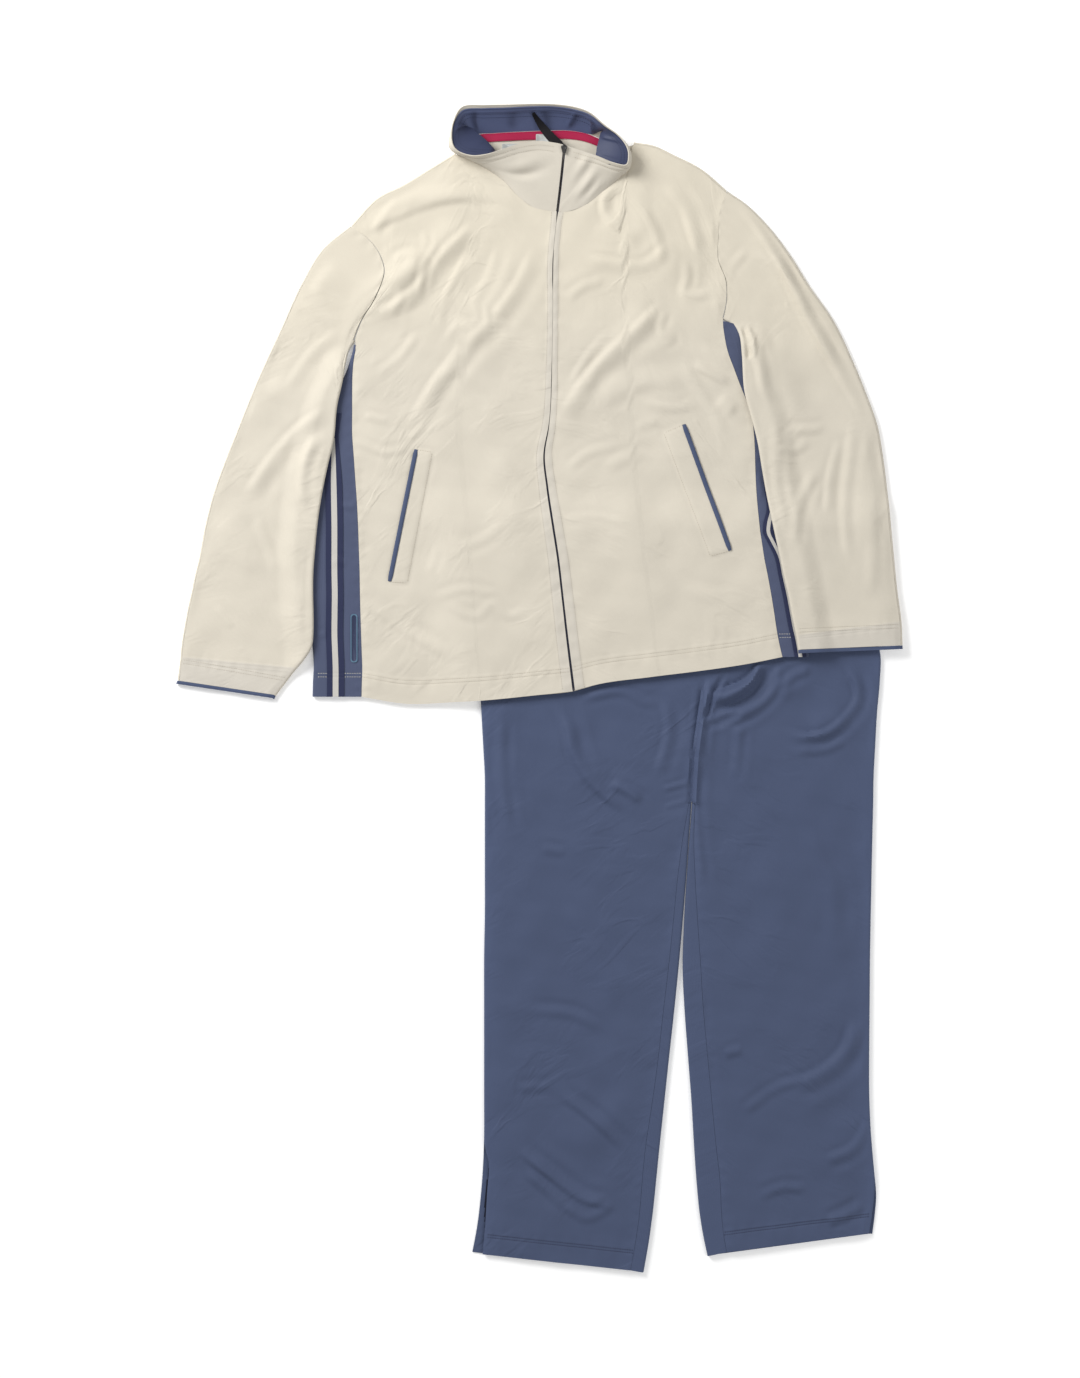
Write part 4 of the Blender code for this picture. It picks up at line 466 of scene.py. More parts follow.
def through(knots, values, at):
    """A smooth curve through values at the knots, read at the given places."""
    knots = np.asarray(knots, float)
    values = np.asarray(values, float)
    at = np.clip(np.asarray(at, float), knots[0], knots[-1])
    slopes = np.gradient(values, knots, axis=0)
    low = np.clip(np.searchsorted(knots, at, side="right") - 1, 0, len(knots) - 2)
    span = knots[low + 1] - knots[low]
    share = (at - knots[low]) / span
    extra = (1,) * (values.ndim - 1)
    share = share.reshape(share.shape + extra)
    span = span.reshape(span.shape + extra)
    start = (1 + 2 * share) * (1 - share) ** 2 * values[low]
    end = share ** 2 * (3 - 2 * share) * values[low + 1]
    lean_out = share * (1 - share) ** 2 * span * slopes[low]
    lean_in = share ** 2 * (share - 1) * span * slopes[low + 1]
    return start + end + lean_out + lean_in


def along(spots, shares):
    """Points of the smooth curve through the spots, at shares of its length."""
    spots = np.array([spot[:2] for spot in spots], float)
    knots = run_lengths(spots)
    fine = through(knots, spots, np.linspace(0, knots[-1], 400))
    lengths = run_lengths(fine)
    return at_places(np.asarray(shares) * lengths[-1], lengths, fine)


def length_of(spots):
    """Length of the smooth curve through the spots."""
    return run_lengths(along(spots, np.linspace(0, 1, 200)))[-1]


def run_lengths(points):
    """Distance along a run of points, from its start."""
    steps = np.linalg.norm(np.diff(points, axis=0), axis=-1)
    return np.concatenate(([0.0], np.cumsum(steps)))


def at_places(wanted, places, points):
    """The points at the wanted places, where a run's own points lie at the given ones."""
    return np.stack([np.interp(wanted, places, values) for values in points.T], axis=-1)


def sideways(points):
    """Unit vectors square to a plan curve, to the left of its run."""
    runs = np.gradient(points, axis=0)
    runs /= np.hypot(runs[:, 0], runs[:, 1])[:, None]
    return np.stack((-runs[:, 1], runs[:, 0]), axis=1)


def folds(group, x, y):
    """Height that the folds of one group add at plan points."""
    x = np.asarray(x, float)
    y = np.asarray(y, float)
    total = np.zeros_like(x)
    for fold in FOLDS:
        if fold.group != group:
            continue
        run = np.array((fold.x1 - fold.x0, fold.y1 - fold.y0), float)
        size = np.hypot(*run)
        run /= size
        share = ((x - fold.x0) * run[0] + (y - fold.y0) * run[1]) / size
        bow = 4 * fold.bend * share * (1 - share)
        off = (y - fold.y0) * run[0] - (x - fold.x0) * run[1] - bow
        ends = ease(share / FOLD_END) * ease((1 - share) / FOLD_END)
        total += fold.height * ends * np.exp(-(off / fold.width) ** 2)
    return total


def leg_edge(rows, y):
    """x of a leg's outer edge at height y."""
    return np.interp(y, *zip(*sorted((row.outer_y, row.outer_x) for row in rows)))


def trouser_lift(x, y):
    """Height at which the jacket lies where the trousers are under it."""
    beyond = np.maximum(leg_edge(LEG_RIGHT, y) - x, x - leg_edge(LEG_LEFT, y))
    beyond = np.maximum(beyond, y - WAIST_TOP - WAIST_DRAPE)
    return ON_TROUSERS * fall(beyond, TROUSER_RAMP)


def side_value(rows, column, y):
    """A column of a side panel's table at height y."""
    return np.interp(y, *zip(*((row.y, getattr(row, column)) for row in reversed(rows))))


def sleeve_base(rows, sign, x, y):
    """Height of a sleeve's underside: on the table, the trousers or the body's side."""
    beyond = sign * (x - side_value(rows, "fold", y))
    climb = ease((rows[0].y + ARMPIT_START - y) / ARMPIT_RISE)
    return trouser_lift(x, y) + ON_BODY * climb * fall(beyond, BODY_RAMP)


def upper_edge(x):
    """y of the jacket's shoulders and neck at x."""
    spots = [tuple(spot) for spot in SHOULDER_RIGHT + SHOULDER_LEFT]
    spots += [COLLAR[row][:2] for row in COLLAR_ON_RIGHT + COLLAR_ON_LEFT]
    return np.interp(x, *zip(*sorted(spots)))


def hem_edge(x):
    """y of the jacket's hem at x."""
    return np.interp(x, *zip(*sorted(HEM_RIGHT + HEM_LEFT)))


def body_fade(x, y):
    """Folds of the body die out towards its sides and shoulders."""
    right_armpit, left_armpit = ARMHOLE_RIGHT[-1].y, ARMHOLE_LEFT[-1].y
    right = x - np.where(y < right_armpit, side_value(SIDE_RIGHT, "seam", y), -ABOVE_ARMPIT)
    left = np.where(y < left_armpit, side_value(SIDE_LEFT, "seam", y), ABOVE_ARMPIT) - x
    sides = ease(np.minimum(right, left) / BODY_EDGE)
    return sides * ease((upper_edge(x) - y) / SHOULDER_EDGE)


def body_top(x, y):
    """Outer height of the jacket's front layer."""
    return trouser_lift(x, y) + LAID_HEIGHT + body_fade(x, y) * folds("jacket", x, y)


def spread(corner_grid, heights, wall):
    """Outer and inner points of a layer from its plan points and its outer heights."""
    outer = np.concatenate((corner_grid, heights[..., None]), axis=-1)
    inner = outer.copy()
    inner[..., 2] -= wall
    return outer, inner


def patch(top, bottom, left, right, across, down):
    """Plan points between four border curves that share their corners."""
    across = across[None, :, None]
    down = down[:, None, None]
    ruled_down = (1 - down) * top[None] + down * bottom[None]
    ruled_across = (1 - across) * left[:, None] + across * right[:, None]
    corners = ((1 - down) * ((1 - across) * top[0] + across * top[-1])
               + down * ((1 - across) * bottom[0] + across * bottom[-1]))
    return ruled_down + ruled_across - corners


def curl(centres, centre_z, outward, angles, radius):
    """Points round a folded edge. An angle of 90 degrees is the top, -90 the underside."""
    angles = np.radians(angles)
    plan = centres[None] + radius * np.cos(angles)[:, None, None] * outward[None]
    height = centre_z[None] + radius * np.sin(angles)[:, None]
    return np.concatenate((plan, height[..., None]), axis=-1)


def arc(first, last, count):
    """Angles from the first up to the last, which is left out."""
    return np.linspace(first, last, count + 1)[:-1]


def creases(group, x, y):
    """Height that the creases of one group add at plan points."""
    total = np.zeros_like(x)
    for number, crease in enumerate(CREASES):
        if crease.group != group:
            continue
        spots = rows_of(Spot, crease.spots)
        line = along(spots, np.linspace(0, 1, 26))
        (low_x, low_y), (high_x, high_y) = line.min(axis=0), line.max(axis=0)
        reach = CREASE_REACH * crease.width
        near = (x > low_x - reach) & (x < high_x + reach) & (y > low_y - reach) & (y < high_y + reach)
        if not near.any():
            continue
        points = np.stack((x[near], y[near]), axis=1)
        best = np.full(len(points), FAR)
        signed, share = np.zeros((2, len(points)))
        runs = np.diff(line, axis=0)
        for place, (start, run) in enumerate(zip(line[:-1], runs)):
            t = np.clip(((points - start) @ run) / (run @ run), 0, 1)
            away = points - start - t[:, None] * run
            distance = np.hypot(*away.T)
            closer = distance < best
            side = np.sign(run[0] * away[:, 1] - run[1] * away[:, 0])
            best = np.where(closer, distance, best)
            signed = np.where(closer, side, signed)
            share = np.where(closer, (place + t) / len(runs), share)
        ratio = best / (crease.width * (1 + crease.steep * signed))
        # a crest, with a shallow dip on both sides and a second, lower crest on one
        profile = np.exp(-ratio ** 2) - 0.28 * np.exp(-((ratio - 1.75) / 0.7) ** 2)
        profile += 0.3 * np.exp(-((ratio * signed - 3.0) / 0.9) ** 2)
        uneven = 1 + 0.22 * np.sin(share * length_of(spots) / 17 + number * 1.7)
        ends = ease(share / CREASE_END) * ease((1 - share) / CREASE_END)
        total[near] += crease.height * ends * uneven * profile
    return total


def waves(x, y, share=1.0):
    """Slow uneven waves of cloth laid by hand."""
    total = np.zeros_like(x)
    for wave in WAVES:
        angle = math.radians(wave.angle)
        along_wave = (x * math.cos(angle) + y * math.sin(angle)) / wave.length
        total += wave.height * np.sin(2 * math.pi * along_wave + wave.start)
    return total * share


def kept_above(height, low):
    """Height that bends away before it falls below a level."""
    over = height - low
    return low + (over + np.sqrt(over ** 2 + 0.3)) / 2


def pucker(distance, place, reach=9.0, height=0.35, length=15.0):
    """Short ripples that a seam draws into the cloth beside it."""
    wobble = np.sin(2 * math.pi * place / length + 2.3 * np.sin(place / 37.0))
    return height * wobble * np.exp(-(distance / reach) ** 2)


def groove(distance, place, depth=0.45, width=1.1):
    """A narrow dip along a line of stitches."""
    return -depth * np.exp(-((distance - place) / width) ** 2)


def stations(length, step=STEP, tail=0.0, tail_step=EDGE_STEP):
    """Places from 0 to a length, closer together over the tail."""
    body = np.linspace(0, length - tail, max(2, round((length - tail) / step)))
    if tail <= 0:
        return body
    return np.append(body, np.linspace(length - tail, length, round(tail / tail_step) + 1)[1:])


def fine_table(rows, first, second, step=STEP, tail=0.0):
    """A table's rows, smoothly filled in along the curve through two of its columns."""
    table = np.array(rows, float)
    knots = run_lengths(table[:, (first, second)])
    places = stations(knots[-1], step, tail)
    return through(knots, table, places), np.interp(places, knots, np.arange(len(rows)))


class Look:
    """A material whose nodes are added one by one."""

    def __init__(self, name):
        self.material = bpy.data.materials.new(name)
        self.material.use_nodes = True
        self.tree = self.material.node_tree
        self.shader = self.tree.nodes["Principled BSDF"]

    def fill(self, node, inputs):
        """Gives each input its value, or links it to another node's output."""
        for key, value in inputs.items():
            if isinstance(value, bpy.types.NodeSocket):
                self.tree.links.new(value, node.inputs[key])
            else:
                node.inputs[key].default_value = value

    def add(self, kind, output, inputs, **settings):
        """Adds a node and gives back one of its outputs."""
        node = self.tree.nodes.new("ShaderNode" + kind)
        for key, value in settings.items():
            setattr(node, key, value)
        self.fill(node, inputs)
        return node.outputs[output]


def cloth_material(name, colour, rough, sheen, dark_tone=None, warm=None, knit=1.3, bump=0.25, wrinkle=0.0):
    """Knitted cloth: uneven tone, fine ribs, and soft sheen."""
    look = Look(name)
    grain = look.add("Attribute", "Vector", {}, attribute_name="grain")
    tint = look.add("Attribute", "Fac", {}, attribute_name="tint")
    cloud = look.add("TexNoise", "Fac", {"Scale": 22.0, "Detail": 5.0, "Roughness": 0.6, "Vector": grain})
    fleck = look.add("TexNoise", "Fac", {"Scale": 620.0, "Detail": 2.0, "Vector": grain})
    shade = look.add("MapRange", "Result", {"From Min": -1.0, "From Max": 1.0, "Value": tint})
    low = dark_tone or tuple(value * 0.88 for value in colour)
    high = warm or tuple(min(value * 1.12, 1) for value in colour)
    tone = look.add("Mix", "Result", {"A": (*low, 1), "B": (*high, 1), "Factor": shade}, data_type="RGBA")
    both = look.add("Math", "Value", {1: 0.35, 0: fleck, 2: cloud}, operation="MULTIPLY_ADD")
    ramp = look.add("ValToRGB", "Color", {"Fac": both})
    first, last = ramp.node.color_ramp.elements
    first.position, first.color = 0.35, (0.93, 0.93, 0.93, 1)
    last.position, last.color = 1.0, (1, 1, 1, 1)
    darker = look.add("Mix", "Result", {"Factor": 1.0, "A": tone, "B": ramp}, data_type="RGBA",
                      blend_type="MULTIPLY")
    ribs = look.add("TexWave", "Fac",
                    {"Scale": RIB_TURN / (knit * MM), "Distortion": 1.2, "Detail": 1.0, "Vector": grain},
                    wave_type="BANDS", bands_direction="X")
    height = look.add("Math", "Value", {0: ribs, 1: fleck}, operation="ADD")
    dent = {"Strength": bump, "Distance": 0.0004, "Height": height}
    if wrinkle:
        dent["Normal"] = wrinkle_normal(look, grain, wrinkle)
    look.fill(look.shader, {"Roughness": rough, "Sheen Weight": sheen, "Sheen Roughness": 0.45,
                            "Specular IOR Level": 0.3, "Base Color": darker,
                            "Normal": look.add("Bump", "Normal", dent)})
    return look.material


def wrinkle_normal(look, grain, depth):
    """Short faint wrinkles, mostly along one slant, in patches."""
    turned = look.add("Mapping", "Vector", {}, vector_type="TEXTURE")
    look.fill(turned.node, {"Rotation": (0, 0, WRINKLE_SLANT), "Scale": (1.0, 2.6, 1.0), "Vector": grain})
    field = look.add("TexNoise", "Fac", {"Scale": 26.0, "Detail": 3.0, "Distortion": 0.6, "Vector": turned})
    away = look.add("Math", "Value", {1: 0.5, 0: field}, operation="SUBTRACT")
    size = look.add("Math", "Value", {0: away}, operation="ABSOLUTE")
    ridge = look.add("MapRange", "Result", {"From Max": 0.11, "To Min": 1.0, "To Max": 0.0, "Value": size},
                     interpolation_type="SMOOTHSTEP")
    patches = look.add("TexNoise", "Fac", {"Scale": 9.0, "Vector": grain})
    mask = look.add("MapRange", "Result", {"From Min": 0.42, "From Max": 0.62, "Value": patches})
    shown = look.add("Math", "Value", {0: ridge, 1: mask}, operation="MULTIPLY")
    return look.add("Bump", "Normal", {"Strength": 1.0, "Distance": depth * MM, "Height": shown})


def hard_material(name, colour, rough, metallic, coat=0.0):
    """Moulded or cast material with fine uneven gloss."""
    look = Look(name)
    place = look.add("TexCoord", "Object", {})
    wear = look.add("TexNoise", "Fac", {"Scale": 400.0, "Detail": 4.0, "Vector": place})
    gloss = look.add("MapRange", "Result", {"To Min": rough - 0.1, "To Max": rough + 0.15, "Value": wear})
    bright = [min(value * 1.4 + 0.01, 1) for value in colour]
    tone = look.add("Mix", "Result", {"A": (*colour, 1), "B": (*bright, 1), "Factor": wear}, data_type="RGBA")
    look.fill(look.shader, {"Metallic": metallic, "Coat Weight": coat, "Roughness": gloss,
                            "Base Color": tone})
    return look.material


def finish_piece(mesh, materials, replaced=()):
    """Puts a mesh in the scene as a piece of the part."""
    for material in materials:
        mesh.materials.append(material)
    piece = bpy.data.objects.new(mesh.name, mesh)
    bpy.context.scene.collection.objects.link(piece)
    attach(piece, "root")
    for node in replaced:
        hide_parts(node)
    return piece


def mesh_from(name, points, faces, paint=None, grain=None, tint=None, sharp=42):
    """A mesh from points in millimetres and its faces, all of as many corners."""
    mesh = bpy.data.meshes.new(name)
    count, corners = faces.shape
    mesh.vertices.add(len(points))
    mesh.vertices.foreach_set("co", ((points + SHIFT) * MM).astype(np.float32).reshape(-1))
    mesh.loops.add(count * corners)
    mesh.loops.foreach_set("vertex_index", faces.astype(np.int32).reshape(-1))
    mesh.polygons.add(count)
    mesh.polygons.foreach_set("loop_start", np.arange(0, count * corners, corners, dtype=np.int32))
    mesh.polygons.foreach_set("use_smooth", np.ones(count, bool))
    if paint is not None:
        mesh.polygons.foreach_set("material_index", np.asarray(paint, np.int32))
    mesh.update(calc_edges=True)
    mesh.validate()
    for title, kind, field, values in (("grain", "FLOAT_VECTOR", "vector", grain),
                                       ("tint", "FLOAT", "value", tint)):
        if values is not None:
            layer = mesh.attributes.new(title, kind, "POINT")
            layer.data.foreach_set(field, np.asarray(values, np.float32).reshape(-1))
    mesh.set_sharp_from_angle(angle=math.radians(sharp))
    return mesh


def grid_runs(grid):
    """Distance of each point of a grid from its row's first point."""
    steps = np.linalg.norm(np.diff(grid, axis=1), axis=2)
    return np.concatenate((np.zeros((len(grid), 1)), np.cumsum(steps, axis=1)), axis=1)


def wall_piece(name, layers, materials, nodes, present=None, closed=False, tint=None, paint=None):
    """A closed wall between an outer and an inner grid of points, with the cloth's own directions kept."""
    outer, inner = layers
    rows, columns = outer.shape[:2]
    count = rows * columns
    spans = columns if closed else columns - 1
    row = np.arange(rows - 1)[:, None] * columns
    column = np.arange(spans)[None, :]
    after = (column + 1) % columns
    cells = np.stack((row + column, row + columns + column, row + columns + after, row + after), axis=-1)
    kept = np.ones((rows - 1, spans), bool) if present is None else present
    quads = cells[kept]
    shades = np.zeros(len(quads), int) if paint is None else np.asarray(paint)[kept]
    starts = quads.reshape(-1)
    ends = np.roll(quads, -1, axis=1).reshape(-1)
    lone = ~np.isin(starts * count + ends, ends * count + starts)
    owner = np.repeat(shades, 4)[lone]
    starts, ends = starts[lone], ends[lone]
    rim = np.stack((ends, starts, starts + count, ends + count), axis=1)
    faces = np.concatenate((quads, quads[:, ::-1] + count, rim))
    shades = np.concatenate((shades, shades, owner))
    points = np.concatenate((outer.reshape(-1, 3), inner.reshape(-1, 3)))
    across, down = [grid_runs(grid).mean(axis=0) for grid in (outer, outer.transpose(1, 0, 2))]
    grain = np.stack((*np.meshgrid(across, down), np.zeros((rows, columns))), axis=-1) * MM
    grain = np.concatenate((grain.reshape(-1, 3),) * 2)
    shade = np.concatenate(((np.zeros((rows, columns)) if tint is None else tint).reshape(-1),) * 2)
    used, fresh = np.unique(faces, return_inverse=True)
    faces = fresh.reshape(faces.shape)
    corners = points[used][faces]
    volume = (np.cross(corners[:, 1], corners[:, 2]) * corners[:, 0]).sum()
    volume += (np.cross(corners[:, 2], corners[:, 3]) * corners[:, 0]).sum()
    if volume < 0:
        faces = faces[:, ::-1]
    mesh = mesh_from(name, points[used], faces, shades, grain[used], shade[used])
    return finish_piece(mesh, materials, nodes)


def finder_of(piece):
    """Finds places on a piece's surface."""
    return BVHTree.FromPolygons([vertex.co.copy() for vertex in piece.data.vertices],
                                [tuple(face.vertices) for face in piece.data.polygons])


def on_surface(finder, x, y, lift=0.0):
    """The highest point of a surface at a plan point, in the tables' millimetres."""
    above = Vector(((x + SHIFT[0]) * MM, (y + SHIFT[1]) * MM, RAY_HEIGHT))
    hit = finder.ray_cast(above, Vector((0, 0, -1)))[0]
    return np.array((x, y, (0.0 if hit is None else hit.z / MM) + lift))


def laid_line(finder, spots, lift=0.12, step=3.0):
    """A plan line through spots, laid on a surface."""
    length = length_of(spots)
    plan = along(spots, np.linspace(0, 1, max(2, round(length / step))))
    return np.array([on_surface(finder, x, y, lift) for x, y in plan])


def inset_line(grid, side, distance, lift=0.12):
    """The line on a grid that keeps a distance from its right, bottom or top side."""
    if side == "right":
        grid = grid.transpose(1, 0, 2)
    if side != "top":
        grid = grid[::-1]
    wanted = np.broadcast_to(distance, grid.shape[1:2])
    columns = grid.transpose(1, 0, 2)
    line = [at_places(place, run_lengths(column[:, :2]), column) for place, column in zip(wanted, columns)]
    return np.array(line) + (0, 0, lift)


class Threads:
    """Stitches of one colour, gathered into one mesh."""

    def __init__(self):
        self.points = []
        self.faces = []

    def sew(self, line, pitch=3.1, length=2.3, width=0.75, height=0.4):
        """Lays stitches along a line of points."""
        places = run_lengths(line)
        for start in np.arange(pitch / 2, places[-1] - length, pitch):
            tail, head = at_places(start, places, line), at_places(start + length, places, line)
            run = head - tail
            if np.linalg.norm(run) < length / 2:
                continue
            side = np.array((-run[1], run[0], 0.0)) / max(np.hypot(run[0], run[1]), 1e-6) * width / 2
            middle, up = (tail + head) / 2, np.array((0, 0, height))
            first = len(self.points)
            self.points.extend((tail, head, middle + side, middle - side, middle + up, middle - up))
            for a, b in ((2, 4), (4, 3), (3, 5), (5, 2)):
                self.faces.extend(((first, first + b, first + a), (first + 1, first + a, first + b)))

    def piece(self, name, material, slot):
        """The stitches as one piece."""
        points = np.array(self.points)
        mesh = mesh_from(name, points, np.array(self.faces), None, points * MM, np.zeros(len(points)), 80)
        return finish_piece(mesh, [material])


class Front:
    """One front of the jacket, between shoulder, neck, zip, hem and side."""

    def __init__(self, sign, shoulder, collar_rows, armhole, hem, side, pocket):
        self.sign = sign
        shoulder_length = length_of(shoulder)
        shoulder_line = along(shoulder, stations(shoulder_length) / shoulder_length)
        self.count = len(shoulder_line)
        self.outward = sideways(shoulder_line) * (-sign)
        self.outward[0] = (0.0, 1.0)
        self.shoulder = shoulder_line - FOLD_RADIUS * self.outward
        self.shoulder[0, 0] -= sign * CORNER_GAP
        knots = np.array([COLLAR[row][:2] for row in collar_rows])
        knots += NECK_GAP * sideways(knots) * sign
        knots[-1, 0] = ZIP_LINE[0].x + sign * ZIP_GAPS[-1].gap / 2
        neck = rows_of(Spot, knots)
        neck_length = length_of(neck)
        neck_places = stations(neck_length, NECK_STEP, ZIP_REACH)
        top = np.vstack((self.shoulder, along(neck, neck_places / neck_length)))
        arm_line = along(armhole, np.linspace(0, 1, ARM_COUNT))
        arm_line[:-1, 0] -= sign * SHOWN_SEAM
        rows, _ = fine_table(side, 1, 0, STEP, EDGE_REACH)
        left = np.vstack((arm_line, np.stack((rows[:, 1] - sign * SEAM / 2, rows[:, 0]), axis=1)))
        left[0] = top[0]
        hem_length = length_of(hem)
        near = len(neck_places) - len(stations(neck_length - ZIP_REACH, NECK_STEP))
        far = np.linspace(0, hem_length - ZIP_REACH, len(top) - near)
        close = np.linspace(hem_length - ZIP_REACH, hem_length, near + 1)[1:]
        bottom = along(hem, np.append(far, close) / hem_length)
        left[-1] = bottom[0]
        down = run_lengths(left)
        down = down / down[-1]
        right = along(ZIP_LINE, down)
        right[:, 0] += sign * np.interp(right[:, 1], *zip(*ZIP_GAPS)) / 2
        right[0], right[-1] = top[-1], bottom[-1]
        across = run_lengths(bottom)
        plan = patch(top, bottom, left, right, across / across[-1], down)
        x, y = plan[..., 0], plan[..., 1]
        self.from_side = grid_runs(plan)
        self.from_zip = grid_runs(plan[:, ::-1])[:, ::-1]
        from_hem = grid_runs(plan[::-1].transpose(1, 0, 2)).T[::-1]
        past_placket = self.from_zip - placket_width(y)
        inside = ease(self.from_side / 6)
        loose = ease(self.from_side / 9) * body_near(x, y) * (0.25 + 0.75 * ease(self.from_zip / 14))
        heights = body_top(x, y) + loose * (creases("jacket", x, y) + waves(x, y))
        placket = 0.7 * (1 - ease(past_placket / 2.5)) * body_near(x, y)
        heights += placket * (1 + 0.35 * np.sin(y / 6.5 + 1.8 * np.sin(y / 23)))
        heights += groove(self.from_zip, placket_width(y), 0.5, 1.4) * body_near(x, y)
        heights += pucker(self.from_side, y) * ease(self.from_side / 4)
        heights += pucker(self.from_zip, y, 12, 0.4, 21) * ease(self.from_zip / 4)
        for distance in HEM_STITCHES:
            heights += groove(from_hem, distance)
        heights += 0.5 * (1 - ease((from_hem - 31) / 3)) * inside
        heights += pucker(np.abs(from_hem - 27), x, 10, 0.3, 19) * inside
        heights += frame_lift(pocket, x, y)
        self.outer, self.inner = spread(plan, heights, CLOTH)
        dark_tone = (1 - ease((past_placket + 1) / 3)) * -0.75
        self.tint = dark_tone + ease((y - 380) / 200) * 0.7 * (1 - np.minimum(-dark_tone, 1))

    def build(self, name):
        """The front as a wall, curled down to the back along the shoulder."""
        centre_z = self.outer[0, :self.count, 2] - FOLD_RADIUS
        layers = []
        for layer, (radius, _) in zip((self.outer, self.inner), LAYERS):
            rows = np.zeros((CURL_COUNT, layer.shape[1], 3))
            rows[:, :self.count] = curl(self.shoulder, centre_z, self.outward, arc(3, 90, CURL_COUNT), radius)
            layers.append(np.concatenate((rows, layer)))
        present = np.ones((len(layers[0]) - 1, layers[0].shape[1] - 1), bool)
        present[:CURL_COUNT, self.count - 1:] = False
        tint = np.concatenate((np.repeat(self.tint[:1], CURL_COUNT, axis=0), self.tint))
        return wall_piece(f"front_{name}_cloth", layers, [CREAM], [f"jacket_front_{name}"],
                          present, tint=tint)


def frame_lift(corners, x, y):
    """Height that a pocket's stitched frame adds: a band with soft edges."""
    spots = np.array([(spot.x, spot.y) for spot in corners])
    inside = np.full(x.shape, 1e9)
    middle = spots.mean(axis=0)
    for first, second in zip(spots, np.roll(spots, -1, axis=0)):
        run = (second - first) / np.hypot(*(second - first))
        off = (x - first[0]) * run[1] - (y - first[1]) * run[0]
        own = (middle[0] - first[0]) * run[1] - (middle[1] - first[1]) * run[0]
        inside = np.minimum(inside, off * np.sign(own))
    return 0.9 * ease((inside + 1.5) / 3.5) - 0.5 * np.exp(-((inside + 2.5) / 2.5) ** 2)


def placket_width(y):
    """Distance from the zip to the stitches beside it."""
    return 6.5 + 6.0 * ease((480 - y) / 420)


def body_near(x, y):
    """As body_fade, but only a few millimetres wide."""
    return ease((upper_edge(x) - y) / 10)


def build_back():
    """The back, flat on the table, curled up to the fronts along the shoulders."""
    shares = np.linspace(0, 1, BACK_COUNT)
    insets, outs, borders = [], [], []
    for shoulder, armhole, side, sign in ((SHOULDER_RIGHT, ARMHOLE_RIGHT, SIDE_RIGHT, -1),
                                          (SHOULDER_LEFT, ARMHOLE_LEFT, SIDE_LEFT, 1)):
        line = along(shoulder, shares)
        out = -sign * sideways(line)
        out[0] = (0.0, 1.0)
        inset = line - FOLD_RADIUS * out
        inset[0, 0] -= sign * 2 * SEAM
        insets.append(inset)
        outs.append(out)
        arm_line = along(armhole, shares)
        arm_line[:, 0] -= sign * SEAM * 2
        seam_y = np.linspace(side[0].y, side[-1].y, 100)
        first, last = (row.seam - sign * BACK_STEP for row in (side[0], side[-1]))
        seam_x = first + (last - first) * (seam_y[0] - seam_y) / (seam_y[0] - seam_y[-1])
        border = np.vstack((arm_line, np.stack((seam_x, seam_y), axis=1)))
        border[0] = inset[0]
        borders.append(border)
    left, right = borders
    neck = along(BACK_NECK, np.linspace(0, 1, 50))
    neck[:, 1] -= BACK_NECK_GAP
    top = np.vstack((insets[0], neck[1:-1], insets[1][::-1]))
    columns = len(top)
    bottom = along([*HEM_RIGHT, *reversed(HEM_LEFT[:-1])], np.linspace(0, 1, columns))
    bottom[0], bottom[-1] = left[-1], right[-1]
    lengths = run_lengths(left)
    plan = patch(top, bottom, left, right, np.linspace(0, 1, columns), lengths / lengths[-1])
    layers = []
    for layer, (radius, _) in zip(spread(plan, trouser_lift(plan[..., 0], plan[..., 1]), -CLOTH), LAYERS):
        level, angles = np.full(BACK_COUNT, FOLD_RADIUS), arc(-3, -90, CURL_COUNT)
        rows = np.zeros((CURL_COUNT, columns, 3))
        rows[:, :BACK_COUNT] = curl(insets[0], level, outs[0], angles, radius)
        rows[:, -BACK_COUNT:] = curl(insets[1], level, outs[1], angles, radius)[:, ::-1]
        layers.append(np.concatenate((rows, layer)))
    present = np.ones((len(layers[0]) - 1, columns - 1), bool)
    present[:CURL_COUNT, BACK_COUNT - 1:columns - BACK_COUNT] = False
    return wall_piece("back_cloth", layers, [CREAM], ["jacket_back"], present)


